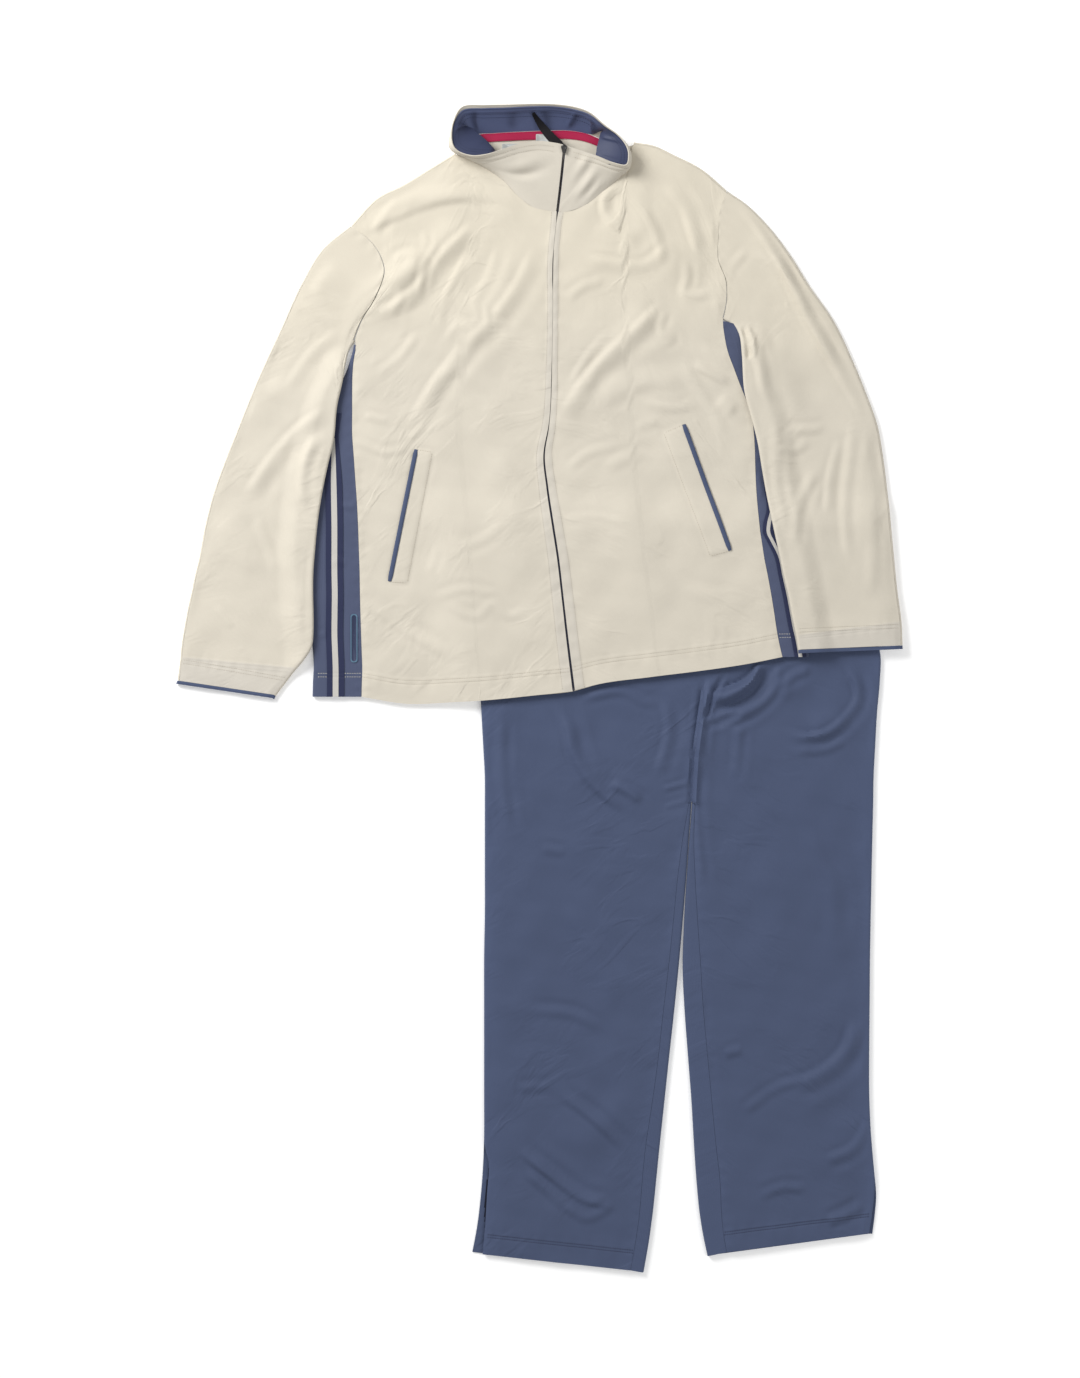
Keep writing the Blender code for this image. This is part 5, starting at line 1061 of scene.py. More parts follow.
def build_side(name, rows, sign):
    """A side panel round the body's side fold, and the stripe tape on its front."""
    table, index = fine_table([SIDE_TOPS[sign], *rows], 0, 2, STEP, EDGE_REACH)
    y, seam, fold, tape_from, tape_to = table.T
    seam = seam + sign * SEAM / 2
    centre = fold - sign * FOLD_RADIUS
    flat_width = sign * (centre - seam)
    tape_in = seam + sign * np.minimum(tape_from, 0.5 * flat_width)
    tape_out = seam + sign * np.minimum(tape_to, 0.98 * flat_width)
    back_seam = rows[0].seam + (rows[-1].seam - rows[0].seam) * (y[0] - y) / (y[0] - y[-1])
    back_limit = centre - sign * PANEL_BACK_STEP
    back_seam = np.where(sign * (centre - back_seam) < PANEL_BACK_STEP, back_limit, back_seam)
    lines = [seam]
    for first, last, span in zip((seam, tape_in, tape_out), (tape_in, tape_out, centre), PANEL_SPANS):
        lines.extend(first + (last - first) * share for share in np.linspace(0, 1, span + 1)[1:])
    x = np.stack(lines, axis=1)
    plan_y = np.repeat(y[:, None], x.shape[1], axis=1)
    run, rest, hem = np.abs(x - x[:, :1]), np.abs(x - x[:, -1:]), (y - y[-1])[:, None]
    extra = (creases(f"side_{name}", x, plan_y) + waves(x, plan_y, 0.4)) * ease(rest / 6)
    extra += pucker(run, plan_y, 8, 0.3) + groove(hem, HEM_STITCHES[0]) + groove(hem, HEM_STITCHES[1])
    extra *= ease(run / 2)
    upper = np.stack((x, plan_y, trouser_lift(x, plan_y) + LAID_HEIGHT + extra), axis=-1)
    out = np.tile((float(sign), 0.0), (len(y), 1))
    centres = np.stack((centre, y), axis=1)
    level = trouser_lift(centre, y) + FOLD_RADIUS
    back_x = np.stack([centre + (back_seam - centre) * share for share in (0, 0.5, 1)], axis=1)
    back_y = np.repeat(y[:, None], 3, axis=1)
    lower = np.stack((back_x, back_y, trouser_lift(back_x, back_y)), axis=-1)
    layers = []
    for radius, wall in LAYERS:
        tube = curl(centres, level, out, arc(90, -90, TUBE_COUNT)[1:], radius).transpose(1, 0, 2)
        layers.append(np.concatenate((upper - (0, 0, wall), tube, lower + (0, 0, wall)), axis=1))
    panel = wall_piece(f"side_{name}_cloth", layers, [PANEL], [f"side_panel_{name}"])
    first, span = PANEL_SPANS[:2]
    low = upper[index >= STRIPE_START + 1, first:first + span + 1] + (0, 0, SEAM)
    bands = np.zeros((len(low) - 1, span), int)
    middle = (np.arange(span) + 0.5) / span
    bands[:, (middle > 0.33) & (middle < 0.67)] = 1
    if sign < 0:
        bands[low[:-1, 0, 1] > WHITE_STRIPE_TOP] = 0
    stripes = wall_piece(f"side_{name}_stripes", (low + (0, 0, TAPE_WALL * 0.7), low), [NAVY, WHITE],
                         [f"side_tape_{name}"], paint=bands)
    return panel, stripes, upper


def build_sleeve(name, sections, armhole, side, sign, arm_heights):
    """A sleeve as a flattened tube, the blue edge that follows its cuff, and its upper points."""
    table, index = fine_table(sections, 0, 1, STEP, EDGE_REACH)
    outer_edge, inner_edge = table[:, :2], table[:, 2:]
    outer_out = sideways(outer_edge) * sign
    inner_out = -sideways(inner_edge) * sign
    start = outer_edge - FOLD_RADIUS * outer_out
    end = inner_edge - FOLD_RADIUS * inner_out
    start[0] = along(armhole, [0.0])[0]
    shares = np.linspace(0, 1, ARM_COUNT)
    arm_line = along(armhole, shares)
    bulge = arm_line - (arm_line[0] + (arm_line[-1] - arm_line[0]) * shares[:, None])
    fade = ease(1 - index / BULGE_FADE)[:, None, None]
    plan = start[:, None] + (end - start)[:, None] * shares[None, :, None] + fade * bulge[None]
    x, y = plan[..., 0], plan[..., 1]
    base = sleeve_base(side, sign, x, y)
    length = np.hypot(*(end - start).T)[:, None]
    across = shares[None] * length
    wide = ease(across / SLEEVE_EDGE) * ease((length - across) / SLEEVE_EDGE)
    close = ease(across / 8) * ease((length - across) / 8)
    along_sleeve = np.repeat(run_lengths(outer_edge)[:, None], ARM_COUNT, axis=1)
    from_cuff = along_sleeve[-1:] - along_sleeve
    own = base + LAID_HEIGHT + wide * folds(f"sleeve_{name}", x, y)
    own += close * (creases(f"sleeve_{name}", x, y) + waves(x, y, 0.9))
    cuff = 1 - ease((from_cuff - 29) / 3)
    own += close * (0.5 * cuff + groove(from_cuff, CUFF_STITCHES[0]) + groove(from_cuff, CUFF_STITCHES[1]))
    own += close * pucker(np.abs(from_cuff - 25), across, 9, 0.3, 16)
    own = base + kept_above(own - base, LEAST_HEIGHT)
    blend = ease(index / 2)[:, None]
    top = own * blend + arm_heights[None] * (1 - blend)
    top += pucker(along_sleeve, across, 12, 0.5, 17) * ease(along_sleeve / 4) * close
    rings = []
    angles = arc(90, -90, TUBE_COUNT)[1:]
    for radius, wall in LAYERS:
        upper = np.stack((x, y, top - wall), axis=-1)
        lower = np.stack((x, y, base + wall), axis=-1)[:, ::-2]
        near = curl(end, (upper[:, -1, 2] + lower[:, 0, 2]) / 2, inner_out, angles, radius)
        far = curl(start, (upper[:, 0, 2] + lower[:, -1, 2]) / 2, outer_out, -angles, radius)
        rings.append(np.concatenate((upper, near.transpose(1, 0, 2), lower, far.transpose(1, 0, 2)), axis=1))
    tint = np.zeros(rings[0].shape[:2])
    tint[:, :ARM_COUNT] = 0.5 * ease((y - 330) / 200) - 1.0 * cuff
    sleeve = wall_piece(f"sleeve_{name}_cloth", rings, [CREAM], [f"sleeve_{name}"], closed=True,
                        tint=tint)
    last, before = (np.array(row, float) for row in (sections[-1], sections[-2]))
    run = (last - before)[:2] + (last - before)[2:]
    run = np.append(run / np.hypot(*run), 0.0)
    cuff_outer, cuff_inner = (ring[-1] for ring in rings)
    above = cuff_outer[:, 2] > cuff_outer[:, 2].mean()
    edge, low = [], []
    for share, lift in BINDING_SHAPE:
        move = (SEAM + BINDING_WIDTH * share) * run
        swell = np.where(above, max(lift, 0), max(-lift, 0))
        edge.append(cuff_outer + move + swell[:, None] * (0, 0, 1))
        low.append(cuff_inner + move)
    binding = wall_piece(f"cuff_{name}_edge", (np.array(edge), np.array(low)), [BLUE],
                         [f"cuff_binding_{name}"], closed=True)
    return sleeve, binding, rings[0][:, :ARM_COUNT]


def unit_normals(grid):
    """Unit normals of a grid of points."""
    normals = np.cross(np.gradient(grid, axis=0), np.gradient(grid, axis=1))
    return normals / np.linalg.norm(normals, axis=2)[..., None]


def facing(normals):
    """Normals of the collar's outer face, turned outwards."""
    return normals if normals[0, 30, 2] >= 0 else -normals


def hump(value, middle, width):
    """A smooth rise of height 1 around the middle."""
    return np.exp(-((value - middle) / width) ** 2)


def collar_grid():
    """The collar's outer face, its normals, and the table's place of each column."""
    knots = np.arange(len(COLLAR))
    places = np.linspace(0, knots[-1], COLLAR_COUNT)
    table = through(knots, np.array(COLLAR, float), places)
    seam, top, roll = table[:, :3], table[:, 3:6], table[:, 6]
    out = seam - (*NECK_MIDDLE, 0.0)
    out[:, 2] = 0.0
    out /= np.linalg.norm(out, axis=1)[:, None]
    shares = np.linspace(0, 1, COLLAR_ROWS)[:, None, None]
    grid = seam + (top - seam) * shares + out * (4 * shares * (1 - shares) * roll[:, None])
    around = run_lengths(top)
    share = shares[..., 0]
    ripple = 0.5 * np.sin(around / 13 + 2 * share) + 0.35 * np.sin(around / 7.3 + 1.3)
    ripple = ripple * (share > 0) * ease(share * 4)
    slanted = share + 0.10 * (places - 2.6)
    dent = -3.6 * hump(places, 2.6, 0.9) * hump(slanted, 0.48, 0.07)
    dent += 1.6 * hump(places, 2.4, 1.1) * hump(slanted, 0.66, 0.10)
    wrinkle = 1.6 * hump(places, 24, 0.7) * np.sin(share * 15 + places * 4) * ease(share * 3)
    from_rim = (1 - share) * np.linalg.norm(top - seam, axis=1)
    for distance in RIM_STITCHES:
        dent += groove(from_rim, distance, 0.7, 1.3)
    relief = (ripple * 0.45 + dent + wrinkle) * ease((1 - share) * 6)
    grid = grid + facing(unit_normals(grid)) * relief[..., None]
    return grid, facing(unit_normals(grid)), places


def satin_folds(places, share):
    """Depth of the upright folds in the satiny lining."""
    depth = sum(fold.depth * hump(places - fold.lean * (share - 0.5), fold.place, fold.width)
                for fold in SATIN_FOLDS)
    return 1.9 * depth * ease(share * 3) * ease((1 - share) * 4)


def build_collar():
    """The standing collar: cream outside, and a blue lining that leans out at its two sides."""
    grid, normals, places = collar_grid()
    outer = wall_piece("collar_cloth", (grid, grid - CLOTH * normals), [CREAM],
                       ["collar_outer"], tint=np.full(grid.shape[:2], -0.35))
    face = grid - (CLOTH + 2 * SEAM) * normals
    edge_share = 1 - (1 - LINING_SHARE) / COLLAR_STEPS - RIM_SHARE
    shares = np.linspace(0, 1, COLLAR_ROWS)
    for column in range(COLLAR_COUNT):
        face[:, column] = at_places(shares * edge_share, shares, face[:, column])
    feet = np.array(LINING_FEET, float)
    foot = through(feet[:, 0], feet[:, 1:], places)
    weight = np.zeros(COLLAR_COUNT)
    for first, full, last, gone in (SLACK_RIGHT, SLACK_LEFT):
        weight += ease((places - first) / (full - first)) * ease((gone - places) / (gone - last))
    slack = foot[None] + (face[-1] - foot)[None] * shares[:, None, None]
    slack[..., 2] += SLACK_BULGE * 4 * (shares * (1 - shares))[:, None]
    face = face * (1 - weight[:, None]) + slack * weight[:, None]
    inward = np.array((*NECK_MIDDLE, 0.0)) - face[:1]
    inward[..., 2] = 0
    inward /= np.linalg.norm(inward, axis=2)[..., None]
    face += inward * (LINING_CLEARANCE * 4 * weight * (1 - weight) * (1 - shares[:, None] ** 3))[..., None]
    own = unit_normals(face)
    middle = COLLAR_COUNT // 2
    if (own[10, middle] * normals[10, middle]).sum() < 0:
        own = -own
    depth = satin_folds(places, shares[:, None])
    keep = (places > 1) & (places < len(COLLAR) - 2)
    face = (face + inward * depth[..., None])[:, keep]
    inner = face - CLOTH * own[:, keep]
    # Painted shade and light: the tint makes the lining lighter on its open face and darker in its upright
    # folds and where it leans out at the sides
    lining = wall_piece("collar_lining_cloth", (face, inner), [LINING], ["collar_lining"],
                        tint=(1 - 2.0 * weight - 0.9 * depth)[:, keep])
    return outer, lining, grid, normals, inner


def build_zip(name, front, grid, normals):
    """A zip tape under a front's edge and on up behind the collar's edge."""
    near = int((front.from_zip[50] < ZIP_TAPE_WIDTH).sum())
    lower_part = front.inner[::-1, :-near - 1:-1] - (0, 0, SEAM + 0.4)
    edge = slice(None, near) if front.sign < 0 else slice(None, -near - 1, -1)
    upper_part = (grid - (CLOTH + SEAM) * normals)[1:, edge]
    face = np.concatenate((lower_part, upper_part))
    gap = np.interp(face[:, 0, 1], *zip(*ZIP_GAPS)) / 2
    face[:, 0, 0] -= front.sign * np.maximum(gap - SEAM, 0)
    down = np.concatenate((np.tile((0.0, 0.0, 1.0), lower_part.shape[:2] + (1,)), normals[1:, edge]))
    return wall_piece(f"zip_{name}_tape_cloth", (face, face - 0.5 * TAPE_WALL * down), [NAVY],
                      [f"zip_tape_{name}"])


def build_teeth(fronts):
    """Moulded teeth of the closed zip, in the gap between the two edges."""
    line = along(ZIP_LINE, np.linspace(0, 1, 900))
    heights = [np.interp(line[:, 1], *front.outer[::-1, -1, 1:].T) for front in fronts]
    points = np.column_stack((line, (heights[0] + heights[1]) / 2 - 1.1))
    places = run_lengths(points)
    vertices = []
    quads = []
    for number, start in enumerate(np.arange(3, places[-1] - 3, TOOTH_PITCH)):
        middle = at_places(start, places, points)
        side = 0.35 if number % 2 else -0.35
        half = 0.5 * np.interp(middle[1], *zip(*ZIP_GAPS)) + 0.9
        first = len(vertices)
        for height, shrink in ((-0.5, 1.0), (0.4, 0.78)):
            for dx, dy in ((-1, -1), (1, -1), (1, 1), (-1, 1)):
                vertices.append(middle + (side + dx * half * shrink, dy * 0.72 * shrink, height))
        for face in ((3, 2, 1, 0), (4, 5, 6, 7), (0, 1, 5, 4), (1, 2, 6, 5), (2, 3, 7, 6), (3, 0, 4, 7)):
            quads.append([first + corner for corner in face])
    mesh = mesh_from("zip_teeth", np.array(vertices), np.array(quads), sharp=30)
    return finish_piece(mesh, [TEETH])


def build_welt(name, finder, ends):
    """A pocket's piping: a half round cord of cloth along the surface of the front."""
    start, end = (np.array(spot, float) for spot in ends)
    run = (end - start) / np.hypot(*(end - start))
    side = np.array((-run[1], run[0])) * WELT_WIDTH / 2
    rows = []
    for share in np.linspace(0, 1, 70):
        middle = start + (end - start) * share
        close = min(ease(share * 22), ease((1 - share) * 22))
        level = max(on_surface(finder, *(middle + side * k))[2] for k in (-1, 0, 1)) + SEAM * 0.6
        swell = 1 + 0.07 * math.sin(share * 60)
        rows.append([(*(middle + side * math.cos(angle) * (0.75 + 0.25 * close)),
                      level + (0.35 + 0.95 * math.sin(angle) * swell) * (0.4 + 0.6 * close))
                     for angle in np.radians(np.linspace(0, 180, 9))])
    top = np.array(rows)
    low = top.copy()
    low[..., 2] = np.minimum(top[..., 2] - 0.3, top[:, :1, 2] - 0.2)
    return wall_piece(f"pocket_{name}_piping", (top, low), [BLUE], [f"pocket_welt_{name}"])


def build_patch(name, place, corner, materials, node, finder=None, level=None, border=1.3, wall=0.8):
    """A flat rounded label or patch on the cloth under it, with a raised woven edge."""
    centre, width, length = place
    rings = []
    for inset, lift in ((0, 0.0), (0.15, wall), (border, wall), (border + 0.3, wall * 0.72),
                        (99, wall * 0.75)):
        share = min(inset / (width / 2), 0.98)
        ring = []
        for quarter, (side_x, side_y) in enumerate(((1, 1), (-1, 1), (-1, -1), (1, -1))):
            for step in range(7):
                angle = math.radians(90 * (quarter + step / 6))
                reach_x = (width / 2 - corner) + corner * abs(math.cos(angle))
                reach_y = (length / 2 - corner) + corner * abs(math.sin(angle))
                x = centre.x + side_x * max(reach_x - inset, reach_x * 0.02)
                y = centre.y + side_y * max(reach_y - inset, reach_y * (1 - share))
                ring.append((x, y, lift))
        rings.append(ring)
    rings = np.array(rings)
    outer = rings.copy()
    for spot in np.ndindex(rings.shape[:2]):
        outer[spot][2] += level if finder is None else on_surface(finder, *rings[spot][:2])[2] + SEAM
    inner = outer.copy()
    inner[..., 2] -= rings[..., 2] * 0.9 + 0.1
    bands = np.ones((len(rings) - 1, rings.shape[1]), int)
    bands[:2] = 0
    return wall_piece(name, (outer, inner), materials, [node], closed=True, paint=bands)


def build_neck_tape():
    """The pink tape on the inside of the back, just under the collar seam."""
    line = along(BACK_NECK, np.linspace(*NECK_TAPE_SHARES, 70))
    rows = []
    for share in np.linspace(0, 1, 6):
        plan = line - (0, NECK_TAPE_DROP + NECK_TAPE_WIDTH * share)
        rows.append(np.column_stack((plan, CLOTH + SEAM + 0.2 * np.sin(plan[:, 0] / 9) + 0.2)))
    low = np.array(rows)
    top = low + (0, 0, TAPE_WALL * 0.8)
    return wall_piece("neck_tape_cloth", (top, low), [PINK], ["neck_tape"]), top


def build_strap():
    """The black cloth strap of the zip puller, thrown back into the neck."""
    table = np.array(STRAP, float)
    knots = np.arange(len(STRAP))
    places = np.linspace(0, knots[-1], 60)
    middle = through(knots, table[:, :3], places)
    half = np.interp(places, knots, table[:, 3]) * 0.42
    side = np.column_stack((sideways(middle[:, :2]) * half[:, None], np.zeros(60)))
    low = np.stack([middle + side * share + (0, 0, 0.25 * (1 - share ** 2))
                    for share in np.linspace(-1, 1, 7)], axis=1)
    return wall_piece("puller_strap_cloth", (low + (0, 0, TAPE_WALL * 0.9), low), [STRAP_BLACK],
                      ["puller_strap"])


def sweep(shape, rings, closed=False):
    """Joins rings of eight corners into a bar, or a ring of them into a closed one."""
    rings = [[shape.verts.new(corner) for corner in ring] for ring in rings]
    for one, two in zip(rings, rings[1:] + rings[:1] if closed else rings[1:]):
        for corner in range(8):
            after = (corner + 1) % 8
            shape.faces.new((one[corner], one[after], two[after], two[corner]))
    if not closed:
        shape.faces.new(rings[0][::-1])
        shape.faces.new(rings[-1])


def build_slider():
    """The zip slider: two waisted plates, a bridge over the upper one, and the ring of its puller."""
    shape = bmesh.new()
    outline = [*SLIDER_OUTLINE, *((-x, y) for x, y in reversed(SLIDER_OUTLINE))]
    for low, high in SLIDER_PLATES:
        face = shape.faces.new([shape.verts.new((x, y, low)) for x, y in outline])
        lifted = bmesh.ops.extrude_face_region(shape, geom=[face])["geom"]
        moved = [item for item in lifted if isinstance(item, bmesh.types.BMVert)]
        bmesh.ops.translate(shape, verts=moved, vec=(0, 0, high - low))
    bmesh.ops.bevel(shape, geom=shape.edges[:], offset=0.22, segments=2, affect="EDGES")
    turns = arc(0, 2 * math.pi, 8)
    for bar in (SLIDER_BRIDGE, SLIDER_CORE):
        sweep(shape, [[(0.85 * math.cos(turn), y, z + 0.4 * math.sin(turn)) for turn in turns]
                      for y, z in bar])
    rings = []
    for turn in arc(0, 2 * math.pi, 24):
        out = Vector((math.cos(turn), math.sin(turn), 0))
        centre = Vector((0, 3.2, 3.3)) + 2.6 * out + Vector((0, 0, 0.25 * math.sin(turn)))
        rings.append([centre + 0.45 * (math.cos(t) * out + Vector((0, 0, math.sin(t)))) for t in turns])
    sweep(shape, rings, closed=True)
    bmesh.ops.recalc_face_normals(shape, faces=shape.faces[:])
    mesh = bpy.data.meshes.new("zip_slider_metal")
    shape.to_mesh(mesh)
    shape.free()
    edge = COLLAR[0]
    lean = Matrix.Rotation(math.atan2(edge.top_z - edge.seam_z, edge.top_y - edge.seam_y), 3, "X")
    for vertex in mesh.vertices:
        vertex.co = (Vector(SLIDER_MIDDLE) + Vector(SHIFT) + lean @ vertex.co) * MM
    mesh.polygons.foreach_set("use_smooth", np.ones(len(mesh.polygons), bool))
    mesh.set_sharp_from_angle(angle=math.radians(35))
    return finish_piece(mesh, [METAL], ["zip_slider"])


def leg_near(x, y):
    """As leg_fade, but the creases start close under the jacket's hem."""
    return ease((hem_edge(x) + 4 - y) / 14)


def leg_fade(x, y):
    """Folds of the trousers die out under the jacket and towards the edges."""
    return ease((hem_edge(x) - HEM_CLEARANCE[0] - y) / HEM_CLEARANCE[1])


def build_leg(name, rows, sign, slit_row):
    """A leg's front and back. The back comes round the inner fold to the seam on the front."""
    table, index = fine_table(rows, 0, 1, STEP, EDGE_REACH)
    outer_edge, inner_edge, inseam, slit = table[:, 0:2], table[:, 2:4], table[:, 4], table[:, 5]
    count = len(table)
    below = index >= CROTCH_ROW - 0.01
    outer_out = sideways(outer_edge) * sign
    inner_out = -sideways(inner_edge) * sign
    inner_out[~below] = (-sign, 0.0)
    outer_out[0] = (sign, 0.0)
    inseam = np.maximum(inseam, 0)
    mix = np.clip(index - slit_row, 0, 1)[:, None]
    slit = np.maximum(slit, 0) * (mix[:, 0] > 0)
    start = outer_edge - FOLD_RADIUS * outer_out
    inner_centre = inner_edge - FOLD_RADIUS * inner_out
    seam_inset = np.where(below, FOLD_RADIUS + inseam, SHOWN_SEAM)
    inner_end = inner_edge - seam_inset[:, None] * inner_out
    start_front = start - (slit * SLIT_SHARE)[:, None] * outer_out
    front_end = inner_end - below[:, None] * SEAM / 2 * inner_out
    shares = np.linspace(0, 1, 88)[None, :, None]
    plan = start_front[:, None] * (1 - shares) + front_end[:, None] * shares
    x, y = plan[..., 0], plan[..., 1]
    length = np.hypot(*(inner_end - start_front).T)[:, None]
    across = shares[..., 0] * length
    to_seam = length - across
    edges = ease(across / LEG_MARGIN) * np.where(below[:, None], ease(to_seam / LEG_MARGIN), 1.0)
    near = ease(across / 7) * np.where(below[:, None], ease(to_seam / 5), 1.0)
    sag = mix * 0.4 * SLIT_SAG * (1 - ease(across / SLIT_REACH))
    centre_x = np.minimum(x, CENTRE_SEAM) if sign < 0 else np.maximum(x, CENTRE_SEAM)
    seam_x = np.where(below[:, None], x, centre_x)
    heights = LAID_HEIGHT - sag + edges * leg_fade(x, y) * folds("trousers", seam_x, y)
    heights += near * leg_near(x, y) * (creases("trousers", x, y) + waves(x, y))
    from_hem = (run_lengths(outer_edge)[-1] - run_lengths(outer_edge))[:, None]
    for distance in LEG_GROOVES:
        heights += near * groove(from_hem, distance)
    heights += near * 0.4 * (1 - ease((from_hem - 26) / 3))
    heights += near * pucker(np.abs(from_hem - 24), across, 9, 0.3, 17)
    heights += pucker(to_seam, y, 9, 0.3, 18) * ease(to_seam / 4) * leg_near(x, y)
    outer, inner = spread(plan, kept_above(heights, LEAST_HEIGHT), CLOTH)
    level = np.full(count, FOLD_RADIUS)
    left_over = np.arange(CURL_COUNT, 0, -1) / CURL_COUNT
    fronts = []
    for layer, (radius, wall) in zip((outer, inner), LAYERS):
        curled = curl(start, level, outer_out, arc(3, 90, CURL_COUNT), radius)
        for step, share in enumerate(left_over * CURL_STEPS):
            drop = np.full(count, -FLAP_DROP * share - wall)
            flat = outer[:, 0] + np.column_stack((outer_out * FLAP_STEP * share, drop))
            curled[step] = curled[step] * (1 - mix) + flat * mix
        fronts.append(np.concatenate((curled.transpose(1, 0, 2), layer), axis=1))
    tint = np.exp(-(across / 16) ** 2) * 0.8 + np.exp(-(to_seam / 12) ** 2) * 0.5
    tint = np.concatenate((np.repeat(tint[:, :1], CURL_COUNT, axis=1), tint), axis=1)
    front = wall_piece(f"leg_{name}_front_cloth", fronts, [BLUE], [f"trouser_front_{name}"],
                       tint=tint)
    steps = np.concatenate((np.linspace(0, SLIT_PART, SLIT_CELLS + 1), np.linspace(SLIT_PART, 1, 28)[1:]))
    steps = steps[None, :, None]
    bottom_end = np.where(below[:, None], inner_centre, inner_edge - SEAM / 2 * inner_out)
    bottom = start[:, None] * (1 - steps) + bottom_end[:, None] * steps
    backs = []
    for radius, wall in LAYERS:
        base = np.concatenate((bottom, np.full(bottom.shape[:2] + (1,), wall)), axis=-1)
        curled = curl(start, level, outer_out, arc(-3, -90, CURL_COUNT), radius)
        for step, share in enumerate(left_over * FOLD_RADIUS):
            flat = np.column_stack((start + outer_out * share, np.full(count, wall)))
            curled[step] = curled[step] * (1 - mix) + flat * mix
        fold = curl(inner_centre, level, inner_out, np.linspace(-90, 90, TUBE_COUNT + 1)[1:], radius)
        strip_end = np.column_stack((inner_end + SEAM / 2 * inner_out, np.full(count, LAID_HEIGHT - wall)))
        strip = [fold[-1] + (strip_end - fold[-1]) * share for share in np.linspace(0, 1, 5)[1:]]
        backs.append(np.concatenate((curled.transpose(1, 0, 2), base, fold.transpose(1, 0, 2),
                                     np.stack(strip, axis=1)), axis=1))
    present = np.ones((count - 1, backs[0].shape[1] - 1), bool)
    present[:int(below.argmax()) - 1, CURL_COUNT + bottom.shape[1] - 1:] = False
    # Painted shadow: the back's cells beside the slit's front edge take SLIT_SHADE, for the shade inside the
    # open slit
    paint = np.zeros(present.shape, int)
    front_edge = slit[:, None] * SLIT_SHARE - FLAP_STEP * CURL_STEPS
    cells = (np.arange(SLIT_CELLS) + 0.5) / SLIT_CELLS * SLIT_PART * length
    gap = SLIT_SHADOW_WIDTH * np.sin(np.pi * np.clip((from_hem - SLIT_HEM) / 90, 0, 1))
    dark = (cells > front_edge - gap) & (mix > 0) & (from_hem > SLIT_HEM)
    paint[:, CURL_COUNT:CURL_COUNT + SLIT_CELLS] = dark[1:]
    behind = wall_piece(f"leg_{name}_back_cloth", backs, [BLUE, SLIT_SHADE],
                        [f"trouser_back_{name}"], present, tint=np.full(backs[0].shape[:2], 0.4), paint=paint)
    return front, behind, outer


def build_waistband():
    """The elastic band at the top of the trousers, gathered into short ribs."""
    ends = (LEG_RIGHT[0].outer_x + FOLD_RADIUS, LEG_LEFT[0].outer_x - FOLD_RADIUS)
    shares = np.linspace(0, 1, 260)
    angles = arc(90, -90, TUBE_COUNT)[1:]
    level = np.array((FOLD_RADIUS,))
    out = np.array(((1.0, 0.0),))
    layers = []
    for wall in (0.0, WAISTBAND_WALL):
        ring = []
        for part in np.linspace(0, 1, 14):
            right_x, left_x = ends[0] - part, ends[1] - 6 * part
            plan = np.column_stack((right_x + (left_x - right_x) * shares,
                                    np.full(260, WAIST + SEAM + (WAISTBAND_HEIGHT - SEAM) * part)))
            rib = 0.25 * (np.sin(shares * 260) - 1) * math.sin(math.pi * part)
            rib *= ease(shares * 40) * ease((1 - shares) * 40)
            upper = np.column_stack((plan, LAID_HEIGHT - wall + rib))
            lower = np.column_stack((plan, np.full(260, wall)))[::-4]
            near = curl(plan[-1:], level, out, angles, FOLD_RADIUS - wall)[:, 0]
            far = curl(plan[:1], level, -out, -angles, FOLD_RADIUS - wall)[:, 0]
            ring.append(np.concatenate((upper, near, lower, far)))
        layers.append(np.array(ring))
    return wall_piece("waistband_cloth", layers, [BLUE], ["waistband"], closed=True)


CREAM = cloth_material("cream_cloth", (0.68, 0.63, 0.53), 0.85, 0.15, dark_tone=(0.615, 0.575, 0.505),
                       warm=(0.70, 0.64, 0.52), wrinkle=0.5)
BLUE = cloth_material("blue_cloth", (0.062, 0.084, 0.158), 0.7, 0.15, wrinkle=0.55)
# Painted shadow: a near-black blue for the inside of the legs' slits, which lies in shade
SLIT_SHADE = cloth_material("slit_painted_shadow", (0.010, 0.013, 0.028), 0.8, 0.0)
PANEL = cloth_material("panel_cloth", (0.072, 0.088, 0.155), 0.75, 0.15)
# The lining's darker and lighter tones are painted shade and painted light, placed by its tint
LINING = cloth_material("lining_cloth", (0.066, 0.083, 0.163), 0.5, 0.1, dark_tone=(0.040, 0.050, 0.105),
                        warm=(0.090, 0.113, 0.218))
NAVY = cloth_material("navy_tape", (0.018, 0.024, 0.07), 0.6, 0.1, knit=0.8)
WHITE = cloth_material("white_thread", (0.56, 0.54, 0.50), 0.8, 0.0, knit=0.8)
PINK = cloth_material("pink_tape", (0.40, 0.006, 0.058), 0.6, 0.05, knit=0.9)
LABEL = cloth_material("label_satin", (0.60, 0.62, 0.60), 0.5, 0.1, knit=0.7)
NAVY_LABEL = cloth_material("label_dark", (0.03, 0.04, 0.09), 0.5, 0.1, knit=0.7)
BADGE_EDGE = cloth_material("badge_edge", (0.10, 0.19, 0.28), 0.6, 0.1, knit=0.7)
STRAP_BLACK = cloth_material("strap_weave", (0.006, 0.005, 0.007), 0.8, 0.0, knit=0.9, bump=0.5)
CREAM_THREAD = cloth_material("cream_thread", (0.50, 0.45, 0.37), 0.7, 0.1)
BLUE_THREAD = cloth_material("blue_thread", (0.022, 0.028, 0.06), 0.6, 0.1)
TEETH = hard_material("zip_plastic", (0.012, 0.014, 0.03), 0.4, 0.0, 0.2)
METAL = hard_material("slider_metal_dull", (0.10, 0.097, 0.095), 0.38, 1.0)


